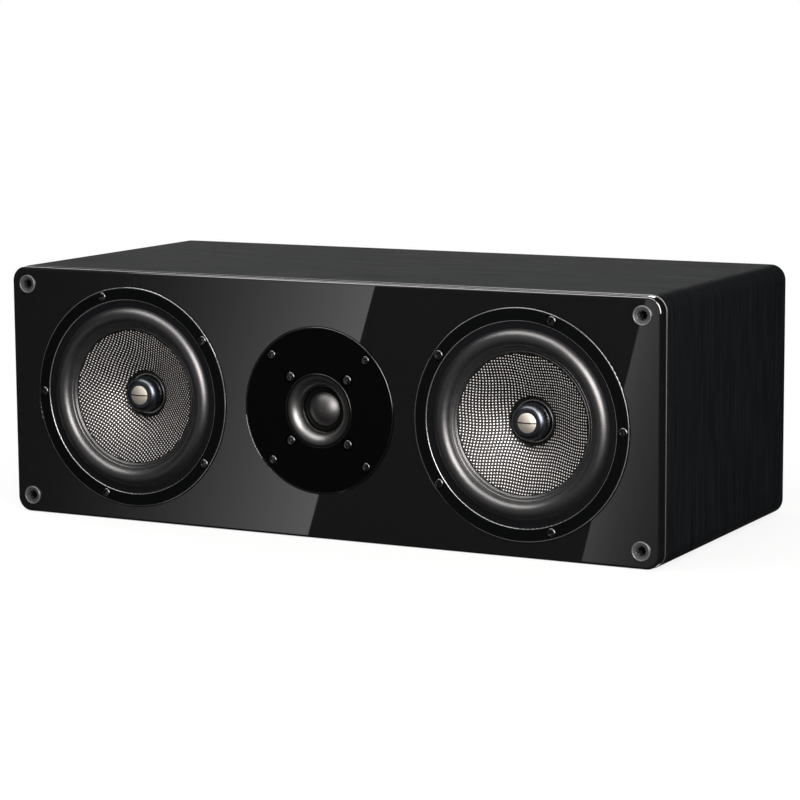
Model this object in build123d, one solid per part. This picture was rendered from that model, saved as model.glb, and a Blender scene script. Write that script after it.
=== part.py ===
from build123d import *

import os
from math import cos, radians, sin, tan

# Centre channel loudspeaker: a closed box with two woofers either side of a soft dome tweeter.
# Millimetres. +X is to the right of someone who faces the front, +Y runs from front to rear, +Z is up.
# The origin is the bottom centre of the box that bounds the whole speaker.

# Cabinet
CABINET_WIDTH = 581.0
CABINET_HEIGHT = 206.0
CORNER_RADIUS = 12.5
SLEEVE_DEPTH = 253.0
SLEEVE_WALL = 15.0
SLEEVE_CHAMFER = 0.8
REAR_THICKNESS = 15.0
GLUE_GAP = 0.2
FIT_GAP = 0.05

# Front baffle: a lacquered board that caps the sleeve, with a spigot that enters it
BAFFLE_LIP = 9.0
BAFFLE_SPIGOT = 12.0
BAFFLE_INSET = 0.5
BAFFLE_EDGE_ROUND = 2.0
REBATE_EASE = 0.4
REBATE_GAP = 0.3

# Braces and lining
BRACE_BOARD_GAP = 4.0
BRACE_THICKNESS = 12.0
BRACE_FRAME = 34.0
BRACE_WINDOW_RADIUS = 18.0
FOAM_WIDTH = 150.0
FOAM_HEIGHT = 130.0
FOAM_THICKNESS = 22.0
FOAM_CORNER_RADIUS = 7.0

# Grille sockets
SOCKET_INSET_X = 15.8
SOCKET_INSET_Z = 14.5
SOCKET_RADIUS = 7.5
SOCKET_HEIGHT = 1.6
SOCKET_LIP_WIDTH = 1.1
SOCKET_DISH = 0.75
SOCKET_MOUTH_RADIUS = 4.2
SOCKET_FINGER_DEPTH = 0.4
SOCKET_FINGERS = 8
SOCKET_NOTCH_WIDTH = 1.3
SOCKET_NOTCH_DEPTH = 3.0
SOCKET_BORE_RADIUS = 3.2
SOCKET_BORE_DEPTH = 6.8
SOCKET_BARREL_RADIUS = 5.6
SOCKET_BARREL_LENGTH = 8.0

# Woofer frame; every radius of a driver is about its own axis
WOOFER_GAP_SHARE = 0.582
FLANGE_WIDTH = 10.7
LIP_SEAT_GAP = 0.3
FLANGE_PROUD = 1.0
FLANGE_THICKNESS = 5.0
FLANGE_OUTER_ROUND = 0.9
FLANGE_INNER_ROUND = 0.9
FLANGE_RIM = 0.6
GASKET_THICKNESS = 1.0
SEAT_WALL = 3.0
SEAT_REACH = 0.6
BASKET_LEGS = 5
BASKET_LEG_ANGLE = 20.0
BASKET_WALL = 7.0
BASKET_WINDOW_MARGIN = 1.5
BASKET_CUP_RADIUS = 57.0
BASKET_CUP_BORE = 44.0
BASKET_CUP_HEIGHT = 18.0
BASKET_FLOOR = 4.0
BASKET_FLOOR_BORE = 25.5

# Woofer surround, cone and spider
SURROUND_RECESS = 2.2
SURROUND_THICKNESS = 0.9
SURROUND_LIP_WIDTH = 5.5
ROLL_OUTER_RADIUS = 73.5
ROLL_INNER_RADIUS = 60.0
ROLL_HEIGHT = 4.8
CONE_LIP_WIDTH = 5.0
CONE_LIP_SLOPE_DEG = 22.0
CONE_EDGE_GAP = 0.5
CONE_THICKNESS = 0.8
CONE_NECK_THICKNESS = 1.6
CONE_DEPTH = 23.6
CONE_BULGE = 1.6
SPIDER_DEPTH = 40.0
SPIDER_LEDGE_WIDTH = 6.0
SPIDER_THICKNESS = 0.6
SPIDER_COLLAR = 2.0
SPIDER_WAVES = 5
SPIDER_WAVE_HEIGHT = 1.6

# Woofer motor and phase plug
COIL_INNER_RADIUS = 15.9
FORMER_THICKNESS = 0.5
FORMER_PROUD = 1.0
FORMER_TAIL = 0.5
COIL_THICKNESS = 0.7
COIL_LENGTH = 12.0
MAGNETIC_GAP = 0.5
TOP_PLATE_RADIUS = 46.0
TOP_PLATE_THICKNESS = 6.0
MAGNET_RADIUS = 50.0
MAGNET_BORE = 23.0
MAGNET_THICKNESS = 16.0
YOKE_THICKNESS = 6.0
PLUG_RADIUS = 14.5
PLUG_PROUD = 13.3
PLUG_TIP_RADIUS = 8.9
PLUG_SHOULDER = 5.0
PLUG_SCREW_HEAD_RADIUS = 7.8
PLUG_SCREW_RIM_GAP = 0.25
PLUG_SCREW_INSET = 0.2
PLUG_SCREW_SEAT_DEPTH = 1.8
PLUG_SCREW_DOME = 1.5
PLUG_SCREW_SLOT_WIDTH = 0.8
PLUG_SCREW_SLOT_DEPTH = 2.2
PLUG_SCREW_SHANK_RADIUS = 2.5
PLUG_SCREW_BITE = 10.0
TAPPED_RUNOUT = 1.0

# Tweeter
TWEETER_RADIUS = 66.2
TWEETER_PROUD = 0.5
TWEETER_THICKNESS = 4.0
TWEETER_EDGE_ROUND = 0.5
TWEETER_GASKET_THICKNESS = 0.8
TWEETER_BOSS_RADIUS = 45.0
TWEETER_BOSS_DEPTH = 9.3
TWEETER_FLARE_RADIUS = 28.4
TWEETER_BEAD_WIDTH = 0.9
TWEETER_BEAD_HEIGHT = 0.35
TWEETER_THROAT_RADIUS = 18.6
TWEETER_THROAT_LAND = 0.8
DOME_RADIUS = 14.0
DOME_HEIGHT = 6.4
DOME_THICKNESS = 0.3
DOME_ROLL_GAP = 0.4
DOME_ROLL_HEIGHT = 1.5
DOME_LIP_WIDTH = 4.0
TWEETER_COIL_LENGTH = 6.0
TWEETER_COIL_THICKNESS = 0.5
TWEETER_GAP = 0.4
TWEETER_PLATE_RADIUS = 42.0
TWEETER_PLATE_THICKNESS = 5.0
TWEETER_MAGNET_RADIUS = 34.0
TWEETER_MAGNET_BORE = 19.0
TWEETER_MAGNET_THICKNESS = 14.0
TWEETER_YOKE_RADIUS = 33.0
TWEETER_YOKE_THICKNESS = 5.0
TWEETER_VENT_RADIUS = 5.0
CHAMBER_RADIUS = 27.0
CHAMBER_DEPTH = 24.0
CHAMBER_WALL = 2.0

# Screws: pan heads with a socket
WOOFER_SCREWS = 5
WOOFER_SCREW_SETBACK = 5.7
WOOFER_SCREW_HEAD_RADIUS = 4.1
WOOFER_SCREW_HEAD_HEIGHT = 3.0
WOOFER_SCREW_HEAD_PROUD = 1.2
WOOFER_SCREW_SHANK_RADIUS = 2.0
WOOFER_SCREW_END = 19.0
TWEETER_SCREWS = 4
TWEETER_SCREW_ANGLE_DEG = 45.0
TWEETER_SCREW_CIRCLE_RADIUS = 59.5
TWEETER_SCREW_HEAD_RADIUS = 3.6
TWEETER_SCREW_HEAD_HEIGHT = 2.2
TWEETER_SCREW_HEAD_PROUD = 0.9
TWEETER_SCREW_SHANK_RADIUS = 1.7
TWEETER_SCREW_END = 16.0
ASSEMBLY_SCREW_CIRCLE_RADIUS = 36.1
ASSEMBLY_SCREW_HEAD_RADIUS = 3.9
ASSEMBLY_SCREW_HEAD_HEIGHT = 2.2
ASSEMBLY_SCREW_HEAD_PROUD = 0.5
ASSEMBLY_SCREW_SHANK_RADIUS = 1.5
ASSEMBLY_POCKET_GAP = 1.3
CUP_SCREW_HEAD_RADIUS = 3.2
CUP_SCREW_HEAD_HEIGHT = 2.0
CUP_SCREW_SHANK_RADIUS = 1.7
CUP_SCREW_BITE = 11.0
POCKET_GAP = 0.35
HEAD_ROUND_SHARE = 0.35
SOCKET_RADIUS_SHARE = 0.52
SOCKET_DEPTH_SHARE = 0.6
HEX_SIDES = 6

# Terminal cup and binding posts on the rear panel
CUP_WIDTH = 104.0
CUP_HEIGHT = 80.0
CUP_CORNER_RADIUS = 9.0
CUP_FLANGE = 3.0
CUP_FLANGE_ROUND = 1.0
CUP_RIM = 12.0
CUP_DEPTH = 31.0
CUP_WALL = 2.6
CUP_DRAFT_DEG = 6.0
CUP_SCREW_INSET = 6.5
POST_SPACING = 30.0
COLLAR_RADIUS = 9.0
COLLAR_HEIGHT = 3.0
COLLAR_CHAMFER = 0.6
STUD_RADIUS = 3.5
STUD_SEAT_RADIUS = 6.3
STUD_SEAT_HEIGHT = 1.6
STUD_LENGTH = 27.0
STUD_TAIL_RADIUS = 2.5
STUD_TAIL_LENGTH = 18.0
BANANA_BORE_RADIUS = 2.0
BANANA_BORE_DEPTH = 16.0
WIRE_HOLE_RADIUS = 1.4
WIRE_HOLE_HEIGHT = 3.2
INSERT_RADIUS = 5.6
INSERT_LENGTH = 12.0
THREAD_GAP = 0.08
CAP_RADIUS = 8.0
CAP_SEAT_GAP = 0.3
CAP_END_WALL = 2.0
CAP_END_GAP = 0.4
CAP_END_HOLE_RADIUS = 2.8
CAP_FOOT_CHAMFER = 0.5
CAP_END_CHAMFER = 1.2
CAP_FLUTES = 14
CAP_FLUTE_RADIUS = 1.1
CAP_FLUTE_DEPTH = 0.55
CAP_FLUTE_MARGIN = 2.0
NUT_ACROSS_FLATS = 9.0
NUT_HEIGHT = 4.0
WASHER_RADIUS = 5.6
WASHER_HEIGHT = 1.6

# Solder tag strips on the drivers
TAG_BLOCK_WIDTH = 22.0
TAG_BLOCK_HEIGHT = 8.0
TAG_BLOCK_DEPTH = 9.0
TAG_BLOCK_SINK = 1.0
TAG_WIDTH = 4.8
TAG_LENGTH = 9.0
TAG_THICKNESS = 0.8

# Crossover on the cabinet floor
BOARD_WIDTH = 136.0
BOARD_DEPTH = 92.0
BOARD_THICKNESS = 1.6
BOARD_CORNER_RADIUS = 3.0
BOARD_REAR_GAP = 46.0
STANDOFF_HEIGHT = 8.0
STANDOFF_RADIUS = 4.0
STANDOFF_INSET = 7.0
CHOKE_RADIUS = 20.0
CHOKE_BORE = 9.0
CHOKE_HEIGHT = 17.0
CHOKE_EDGE_GAP = 4.0
CAPACITOR_RADIUS = 8.5
CAPACITOR_LENGTH = 34.0
CAPACITOR_GAP = 2.0
RESISTOR_LENGTH = 24.0
RESISTOR_WIDTH = 9.0
RESISTOR_HEIGHT = 9.0
RESISTOR_EDGE_GAP = 3.0
RESISTOR_ROUND = 1.0

# Places along the depth, measured back from the baffle's front face
ROLL_REACH = FLANGE_PROUD + ROLL_HEIGHT + SURROUND_THICKNESS - SURROUND_RECESS
REAR_REACH = CUP_FLANGE + CUP_SCREW_HEAD_HEIGHT
SPIGOT_BACK = BAFFLE_LIP + BAFFLE_SPIGOT
SLEEVE_BACK = BAFFLE_LIP + SLEEVE_DEPTH
REAR_INNER = SLEEVE_BACK - REAR_THICKNESS
TOTAL_DEPTH = ROLL_REACH + SLEEVE_BACK + REAR_REACH
BAFFLE_FACE_Y = ROLL_REACH - TOTAL_DEPTH / 2
AXIS_HEIGHT = CABINET_HEIGHT / 2

# Radii of the woofer's frame, out from the surround that it carries
FLANGE_INNER_RADIUS = ROLL_OUTER_RADIUS + SURROUND_LIP_WIDTH + LIP_SEAT_GAP
FLANGE_RADIUS = FLANGE_INNER_RADIUS + FLANGE_WIDTH
WOOFER_SCREW_CIRCLE_RADIUS = FLANGE_INNER_RADIUS + WOOFER_SCREW_SETBACK

# Places across the width; the room that the drivers leave is shared between the two gaps of a woofer
BRACE_OFFSET = BOARD_WIDTH / 2 + BRACE_BOARD_GAP + BRACE_THICKNESS / 2
WOOFER_SCREW_REACH = WOOFER_SCREW_CIRCLE_RADIUS + WOOFER_SCREW_SHANK_RADIUS
WOOFER_ROOM = CABINET_WIDTH / 2 - SLEEVE_WALL - WOOFER_SCREW_REACH - FLANGE_RADIUS - TWEETER_RADIUS
WOOFER_OFFSET = TWEETER_RADIUS + FLANGE_RADIUS + WOOFER_ROOM * WOOFER_GAP_SHARE

FLANGE_FACE = -FLANGE_PROUD
FLANGE_BACK = FLANGE_FACE + FLANGE_THICKNESS
WOOFER_REBATE = FLANGE_BACK + GASKET_THICKNESS
BASKET_RIM_RADIUS = FLANGE_INNER_RADIUS + FLANGE_RIM
WOOFER_CUTOUT_RADIUS = BASKET_RIM_RADIUS + REBATE_GAP
LIP_BACK = FLANGE_FACE + SURROUND_RECESS
LIP_FRONT = LIP_BACK - SURROUND_THICKNESS
LIP_DROP = CONE_LIP_WIDTH * tan(radians(CONE_LIP_SLOPE_DEG))
LIP_INNER_RADIUS = ROLL_INNER_RADIUS - CONE_LIP_WIDTH
FORMER_RADIUS = COIL_INNER_RADIUS + FORMER_THICKNESS
COIL_RADIUS = FORMER_RADIUS + COIL_THICKNESS
POLE_RADIUS = COIL_INNER_RADIUS - MAGNETIC_GAP
NECK_DEPTH = LIP_BACK + CONE_DEPTH
SPIDER_SEAT = LIP_BACK + SPIDER_DEPTH
BASKET_BACK = SPIDER_SEAT + BASKET_CUP_HEIGHT
TOP_PLATE_BACK = BASKET_BACK + TOP_PLATE_THICKNESS
MAGNET_BACK = TOP_PLATE_BACK + MAGNET_THICKNESS
YOKE_BACK = MAGNET_BACK + YOKE_THICKNESS
COIL_MIDDLE = BASKET_BACK + TOP_PLATE_THICKNESS / 2
PLUG_TIP = NECK_DEPTH - PLUG_PROUD

TWEETER_FACE = -TWEETER_PROUD
TWEETER_PLATE_BACK = TWEETER_FACE + TWEETER_THICKNESS
TWEETER_REBATE = TWEETER_PLATE_BACK + TWEETER_GASKET_THICKNESS
DOME_BACK = TWEETER_BOSS_DEPTH + DOME_THICKNESS
TWEETER_STACK = DOME_BACK + TWEETER_PLATE_THICKNESS
TWEETER_MAGNET_BACK = TWEETER_STACK + TWEETER_MAGNET_THICKNESS
TWEETER_YOKE_BACK = TWEETER_MAGNET_BACK + TWEETER_YOKE_THICKNESS
TWEETER_COIL_RADIUS = DOME_RADIUS + DOME_THICKNESS / 2

CUP_FLOOR = SLEEVE_BACK + CUP_FLANGE - CUP_DEPTH
CAP_FOOT = COLLAR_HEIGHT + STUD_SEAT_HEIGHT + CAP_SEAT_GAP

SOCKET_PLACES = GridLocations(CABINET_WIDTH - 2 * SOCKET_INSET_X, CABINET_HEIGHT - 2 * SOCKET_INSET_Z, 2, 2)
CUP_SCREW_PLACES = GridLocations(CUP_WIDTH - 2 * CUP_SCREW_INSET, CUP_HEIGHT - 2 * CUP_SCREW_INSET, 2, 2)
STANDOFF_PLACES = GridLocations(BOARD_WIDTH - 2 * STANDOFF_INSET, BOARD_DEPTH - 2 * STANDOFF_INSET, 2, 2)
POST_X = {"red": POST_SPACING / 2, "black": -POST_SPACING / 2}
SIDES = {"left": -1, "right": 1}


def at_depth(depth=0.0, x=0.0):
    """A frame on the drivers' height at a depth, with its z axis running to the rear."""
    return Plane(origin=(x, BAFFLE_FACE_Y + depth, AXIS_HEIGHT), x_dir=(1, 0, 0), z_dir=(0, 1, 0)).location


def turned(*edges):
    """A solid of revolution about Z from edges drawn as (radius, depth)."""
    return revolve(make_face(Plane.XZ * (Curve() + list(edges))), Axis.Z)


def turned_from(*corners):
    """A solid of revolution about Z from the corners of its section."""
    return turned(Polyline(*corners, close=True))


def ring(outer, inner, front, back):
    """A plain ring or tube about Z between two depths."""
    return turned_from((inner, front), (outer, front), (outer, back), (inner, back))


def disc(radius, front, back):
    """A round bar about Z between two depths."""
    return Pos(0, 0, front) * Cylinder(radius, back - front, align=(Align.CENTER, Align.CENTER, Align.MIN))


def quarter_round(radius, face, size, side):
    """The rounded front edge of a wall at a radius: side is 1 facing out and -1 facing in."""
    nick = size * (1 - sin(radians(45)))
    return ThreePointArc(
        (radius - side * size, face), (radius - side * nick, face + nick), (radius, face + size)
    )


def polar(solid, radius, count, start):
    """Copies of a solid about Z, evenly spaced on a circle."""
    return [place * solid for place in PolarLocations(radius, count, start)]


class Screw:
    """A pan head screw about Z: its head's top, its head's seat and its end are depths."""

    def __init__(self, head_radius, head_height, shank_radius, top, end, pocket_gap=POCKET_GAP):
        self.head_radius = head_radius
        self.head_height = head_height
        self.shank_radius = shank_radius
        self.top = top
        self.seat = top + head_height
        self.end = end
        self.pocket_radius = head_radius + pocket_gap

    def solid(self):
        """The screw itself, with a rounded head and a socket."""
        head = disc(self.head_radius, self.top, self.seat)
        head = fillet(head.edges().group_by(Axis.Z)[0], self.head_height * HEAD_ROUND_SHARE)
        socket = RegularPolygon(self.head_radius * SOCKET_RADIUS_SHARE, HEX_SIDES)
        socket = extrude(socket, self.head_height * SOCKET_DEPTH_SHARE)
        return head + disc(self.shank_radius, self.seat, self.end) - Pos(0, 0, self.top) * socket

    def hole(self, front, back):
        """The hole for the shank between two depths."""
        return disc(self.shank_radius + FIT_GAP, front, back)

    def pocket(self, face, back):
        """The pocket for the head in a face, and the hole for the shank behind it."""
        return disc(self.pocket_radius, face, self.seat) + self.hole(self.seat, back)


WOOFER_SCREW = Screw(
    WOOFER_SCREW_HEAD_RADIUS,
    WOOFER_SCREW_HEAD_HEIGHT,
    WOOFER_SCREW_SHANK_RADIUS,
    FLANGE_FACE - WOOFER_SCREW_HEAD_PROUD,
    WOOFER_SCREW_END,
)
TWEETER_SCREW = Screw(
    TWEETER_SCREW_HEAD_RADIUS,
    TWEETER_SCREW_HEAD_HEIGHT,
    TWEETER_SCREW_SHANK_RADIUS,
    TWEETER_FACE - TWEETER_SCREW_HEAD_PROUD,
    TWEETER_SCREW_END,
)
ASSEMBLY_SCREW = Screw(
    ASSEMBLY_SCREW_HEAD_RADIUS,
    ASSEMBLY_SCREW_HEAD_HEIGHT,
    ASSEMBLY_SCREW_SHANK_RADIUS,
    TWEETER_FACE - ASSEMBLY_SCREW_HEAD_PROUD,
    TWEETER_STACK,
    ASSEMBLY_POCKET_GAP,
)
CUP_SCREW = Screw(
    CUP_SCREW_HEAD_RADIUS,
    CUP_SCREW_HEAD_HEIGHT,
    CUP_SCREW_SHANK_RADIUS,
    -CUP_SCREW_HEAD_HEIGHT,
    CUP_FLANGE + CUP_SCREW_BITE,
)


def woofer_ring(solid, side):
    """Copies of a solid at one woofer's screws: the first screw points away from the tweeter."""
    return polar(solid, WOOFER_SCREW_CIRCLE_RADIUS, WOOFER_SCREWS, 0 if side > 0 else 180)


def tweeter_ring(solid, radius):
    """Copies of a solid at one circle of the tweeter's screws."""
    return polar(solid, radius, TWEETER_SCREWS, TWEETER_SCREW_ANGLE_DEG)


# Cabinet


def woofer_pilots():
    """Pilot holes of both rings of woofer screws, in whichever boards they run into."""
    pilot = WOOFER_SCREW.hole(WOOFER_REBATE, WOOFER_SCREW.end + TAPPED_RUNOUT)
    return [
        Pos(side * WOOFER_OFFSET, 0, 0) * hole for side in SIDES.values() for hole in woofer_ring(pilot, side)
    ]


def cabinet_sleeve():
    """Folded board sleeve: top, bottom and sides in one, square inside and rounded outside."""
    outer = extrude(RectangleRounded(CABINET_WIDTH, CABINET_HEIGHT, CORNER_RADIUS), SLEEVE_DEPTH)
    ends = outer.faces().sort_by(Axis.Z)
    outer = chamfer(ends[0].edges() + ends[-1].edges(), SLEEVE_CHAMFER)
    inside = Rectangle(CABINET_WIDTH - 2 * SLEEVE_WALL, CABINET_HEIGHT - 2 * SLEEVE_WALL)
    sleeve = Pos(0, 0, BAFFLE_LIP) * (outer - extrude(inside, SLEEVE_DEPTH))
    return at_depth() * (sleeve - woofer_pilots())


def inside_board(thickness):
    """A board that fills the sleeve's inside, less its glue line."""
    margin = 2 * (SLEEVE_WALL + GLUE_GAP)
    return extrude(Rectangle(CABINET_WIDTH - margin, CABINET_HEIGHT - margin), thickness)


def driver_cutout(flange_radius, rebate, cutout_radius):
    """The rebate and through hole that one driver takes in the baffle, with an eased front edge."""
    wide = flange_radius + REBATE_GAP
    return turned_from(
        (0, 0),
        (wide + REBATE_EASE, 0),
        (wide, REBATE_EASE),
        (wide, rebate),
        (cutout_radius, rebate),
        (cutout_radius, SPIGOT_BACK),
        (0, SPIGOT_BACK),
    )


def front_baffle():
    """Gloss lacquered board: a proud lip over the sleeve's edge and a spigot inside it."""
    outline = RectangleRounded(
        CABINET_WIDTH - 2 * BAFFLE_INSET, CABINET_HEIGHT - 2 * BAFFLE_INSET, CORNER_RADIUS - BAFFLE_INSET
    )
    lip = extrude(outline, BAFFLE_LIP)
    lip = fillet(lip.faces().sort_by(Axis.Z)[0].edges(), BAFFLE_EDGE_ROUND)
    board = lip + Pos(0, 0, BAFFLE_LIP) * inside_board(BAFFLE_SPIGOT)
    for side in SIDES.values():
        cutout = driver_cutout(FLANGE_RADIUS, WOOFER_REBATE, WOOFER_CUTOUT_RADIUS)
        board -= Pos(side * WOOFER_OFFSET, 0, 0) * cutout
    board -= woofer_pilots()
    board -= driver_cutout(TWEETER_RADIUS, TWEETER_REBATE, TWEETER_BOSS_RADIUS + REBATE_GAP)
    pilot = TWEETER_SCREW.hole(TWEETER_REBATE, TWEETER_SCREW.end + TAPPED_RUNOUT)
    board -= tweeter_ring(pilot, TWEETER_SCREW_CIRCLE_RADIUS)
    barrel = disc(SOCKET_BARREL_RADIUS + FIT_GAP, 0, SOCKET_BARREL_LENGTH + GLUE_GAP)
    board -= [place * barrel for place in SOCKET_PLACES]
    return at_depth() * board


def rear_panel():
    """Rear board inside the sleeve, flush with its edge and cut out for the terminal cup."""
    board = inside_board(-REAR_THICKNESS)
    step = 2 * (CUP_RIM - CUP_WALL - REBATE_GAP)
    cutout = RectangleRounded(CUP_WIDTH - step, CUP_HEIGHT - step, CUP_CORNER_RADIUS)
    board -= extrude(cutout, -REAR_THICKNESS)
    pilot = CUP_SCREW.hole(-CUP_SCREW_BITE - TAPPED_RUNOUT, 0)
    board -= [place * pilot for place in CUP_SCREW_PLACES]
    return at_depth(SLEEVE_BACK) * board


def brace(side):
    """Window brace that ties the top and bottom of the sleeve together beside a woofer."""
    depth = REAR_INNER - SPIGOT_BACK - 2 * GLUE_GAP
    height = CABINET_HEIGHT - 2 * (SLEEVE_WALL + GLUE_GAP)
    board = Rectangle(depth, height)
    board -= RectangleRounded(depth - 2 * BRACE_FRAME, height - 2 * BRACE_FRAME, BRACE_WINDOW_RADIUS)
    middle = BAFFLE_FACE_Y + (REAR_INNER + SPIGOT_BACK) / 2
    across = Plane(origin=(side * BRACE_OFFSET, middle, AXIS_HEIGHT), x_dir=(0, 1, 0), z_dir=(1, 0, 0))
    return across.location * extrude(board, BRACE_THICKNESS / 2, both=True)


def damping_foam():
    """Open cell foam sheets on the rear panel, one in each woofer's chamber."""
    sheet = extrude(RectangleRounded(FOAM_WIDTH, FOAM_HEIGHT, FOAM_CORNER_RADIUS), -FOAM_THICKNESS)
    return [at_depth(REAR_INNER - GLUE_GAP, side * WOOFER_OFFSET) * sheet for side in SIDES.values()]


def grille_sockets():
    """Moulded grille sockets: a lipped, dished flange on the baffle and a fingered blind bore."""
    crown = SOCKET_LIP_WIDTH / 2 - SOCKET_HEIGHT
    lip_middle = SOCKET_RADIUS - SOCKET_LIP_WIDTH / 2
    lip_inner = SOCKET_RADIUS - SOCKET_LIP_WIDTH
    body = turned(
        Polyline(
            (SOCKET_BARREL_RADIUS, SOCKET_BARREL_LENGTH),
            (SOCKET_BARREL_RADIUS, 0),
            (SOCKET_RADIUS, 0),
            (SOCKET_RADIUS, crown),
        ),
        ThreePointArc((SOCKET_RADIUS, crown), (lip_middle, -SOCKET_HEIGHT), (lip_inner, crown)),
        Polyline(
            (lip_inner, crown),
            (SOCKET_MOUTH_RADIUS, crown + SOCKET_DISH),
            (SOCKET_MOUTH_RADIUS, SOCKET_FINGER_DEPTH),
            (SOCKET_BORE_RADIUS, SOCKET_FINGER_DEPTH),
            (SOCKET_BORE_RADIUS, SOCKET_BORE_DEPTH),
            (0, SOCKET_BORE_DEPTH),
            (0, SOCKET_BARREL_LENGTH),
            (SOCKET_BARREL_RADIUS, SOCKET_BARREL_LENGTH),
        ),
    )
    from_mouth = (Align.MIN, Align.CENTER, Align.MIN)
    notch = Box(SOCKET_MOUTH_RADIUS, SOCKET_NOTCH_WIDTH, SOCKET_NOTCH_DEPTH, align=from_mouth)
    body -= polar(notch, 0, SOCKET_FINGERS, 0)
    return [at_depth() * place * body for place in SOCKET_PLACES]


# Woofer


def woofer_basket(side):
    """Cast frame: flange, surround seat, legs, and the cup that holds the spider and the magnet."""
    seat_inner = ROLL_OUTER_RADIUS - SEAT_REACH
    seat_back = LIP_BACK + SEAT_WALL
    ledge = BASKET_CUP_BORE + SPIDER_LEDGE_WIDTH
    cup_front = SPIDER_SEAT - BASKET_WALL / 2
    floor_front = BASKET_BACK - BASKET_FLOOR
    body = turned(
        quarter_round(FLANGE_INNER_RADIUS, FLANGE_FACE, FLANGE_INNER_ROUND, -1),
        Line(
            (FLANGE_INNER_RADIUS + FLANGE_INNER_ROUND, FLANGE_FACE),
            (FLANGE_RADIUS - FLANGE_OUTER_ROUND, FLANGE_FACE),
        ),
        quarter_round(FLANGE_RADIUS, FLANGE_FACE, FLANGE_OUTER_ROUND, 1),
        Polyline(
            (FLANGE_RADIUS, FLANGE_FACE + FLANGE_OUTER_ROUND),
            (FLANGE_RADIUS, FLANGE_BACK),
            (BASKET_RIM_RADIUS, FLANGE_BACK),
            (BASKET_RIM_RADIUS, seat_back),
            (BASKET_CUP_RADIUS, cup_front),
            (BASKET_CUP_RADIUS, BASKET_BACK),
            (BASKET_FLOOR_BORE, BASKET_BACK),
            (BASKET_FLOOR_BORE, floor_front),
            (BASKET_CUP_BORE, floor_front),
            (BASKET_CUP_BORE, SPIDER_SEAT),
            (ledge, SPIDER_SEAT),
            (ledge, cup_front),
            (seat_inner, seat_back),
            (seat_inner, LIP_BACK),
            (FLANGE_INNER_RADIUS, LIP_BACK),
            (FLANGE_INNER_RADIUS, FLANGE_FACE + FLANGE_INNER_ROUND),
        ),
    )
    window = extrude(leg_window(), SPIDER_SEAT - BASKET_WALL - seat_back - BASKET_WINDOW_MARGIN)
    window = Pos(0, 0, seat_back + BASKET_WINDOW_MARGIN) * window
    body -= polar(window, 0, BASKET_LEGS, 180 / BASKET_LEGS + (0 if side > 0 else 180))
    return body - woofer_ring(WOOFER_SCREW.pocket(FLANGE_FACE, FLANGE_BACK), side)


def leg_window():
    """The wedge between two legs, wide enough to pass through the frame's wall."""
    half = radians(360 / BASKET_LEGS - BASKET_LEG_ANGLE) / 2
    near_x, near_y = BASKET_CUP_BORE * cos(half), BASKET_CUP_BORE * sin(half)
    far_x, far_y = FLANGE_RADIUS, FLANGE_RADIUS * tan(half)
    corners = [(near_x, -near_y), (far_x, -far_y), (far_x, far_y), (near_x, near_y)]
    return make_face(Polyline(*corners, close=True))


def woofer_gasket(side):
    """Foam ring under the flange, pierced by the mounting screws."""
    body = ring(FLANGE_RADIUS, WOOFER_CUTOUT_RADIUS, FLANGE_BACK, WOOFER_REBATE)
    return body - woofer_ring(WOOFER_SCREW.hole(FLANGE_BACK, WOOFER_REBATE), side)


def woofer_surround():
    """Moulded rubber half roll with a flat lip on the frame and a sloped lip on the cone."""
    outer = ROLL_OUTER_RADIUS + SURROUND_LIP_WIDTH
    middle = (ROLL_OUTER_RADIUS + ROLL_INNER_RADIUS) / 2
    crown = LIP_FRONT - ROLL_HEIGHT
    wall = SURROUND_THICKNESS
    back_inner, back_outer = ROLL_INNER_RADIUS + wall, ROLL_OUTER_RADIUS - wall
    return turned(
        Polyline((back_outer, LIP_BACK), (outer, LIP_BACK), (outer, LIP_FRONT)),
        Line((outer, LIP_FRONT), (ROLL_OUTER_RADIUS, LIP_FRONT)),
        ThreePointArc((ROLL_OUTER_RADIUS, LIP_FRONT), (middle, crown), (ROLL_INNER_RADIUS, LIP_FRONT)),
        Polyline(
            (ROLL_INNER_RADIUS, LIP_FRONT),
            (LIP_INNER_RADIUS, LIP_FRONT + LIP_DROP),
            (LIP_INNER_RADIUS, LIP_BACK + LIP_DROP),
            (ROLL_INNER_RADIUS, LIP_BACK),
            (back_inner, LIP_BACK),
        ),
        ThreePointArc((back_inner, LIP_BACK), (middle, crown + wall), (back_outer, LIP_BACK)),
    )


def woofer_cone():
    """Woven fibre cone: a straight rim glued behind the surround's lip and a flared body to the neck."""
    edge = ROLL_INNER_RADIUS - CONE_EDGE_GAP
    edge_front = LIP_BACK + FIT_GAP + CONE_EDGE_GAP * tan(radians(CONE_LIP_SLOPE_DEG))
    rim = LIP_INNER_RADIUS
    rim_front = LIP_BACK + FIT_GAP + LIP_DROP
    neck = FORMER_RADIUS + FIT_GAP
    middle = (rim + neck) / 2
    middle_front = (rim_front + NECK_DEPTH) / 2 - CONE_BULGE
    wall = CONE_THICKNESS
    neck_back = NECK_DEPTH + CONE_NECK_THICKNESS
    middle_back = middle_front + (wall + CONE_NECK_THICKNESS) / 2
    return turned(
        Line((edge, edge_front), (rim, rim_front)),
        ThreePointArc((rim, rim_front), (middle, middle_front), (neck, NECK_DEPTH)),
        Line((neck, NECK_DEPTH), (neck, neck_back)),
        ThreePointArc((neck, neck_back), (middle, middle_back), (rim, rim_front + wall)),
        Polyline((rim, rim_front + wall), (edge, edge_front + wall), (edge, edge_front)),
    )


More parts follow.
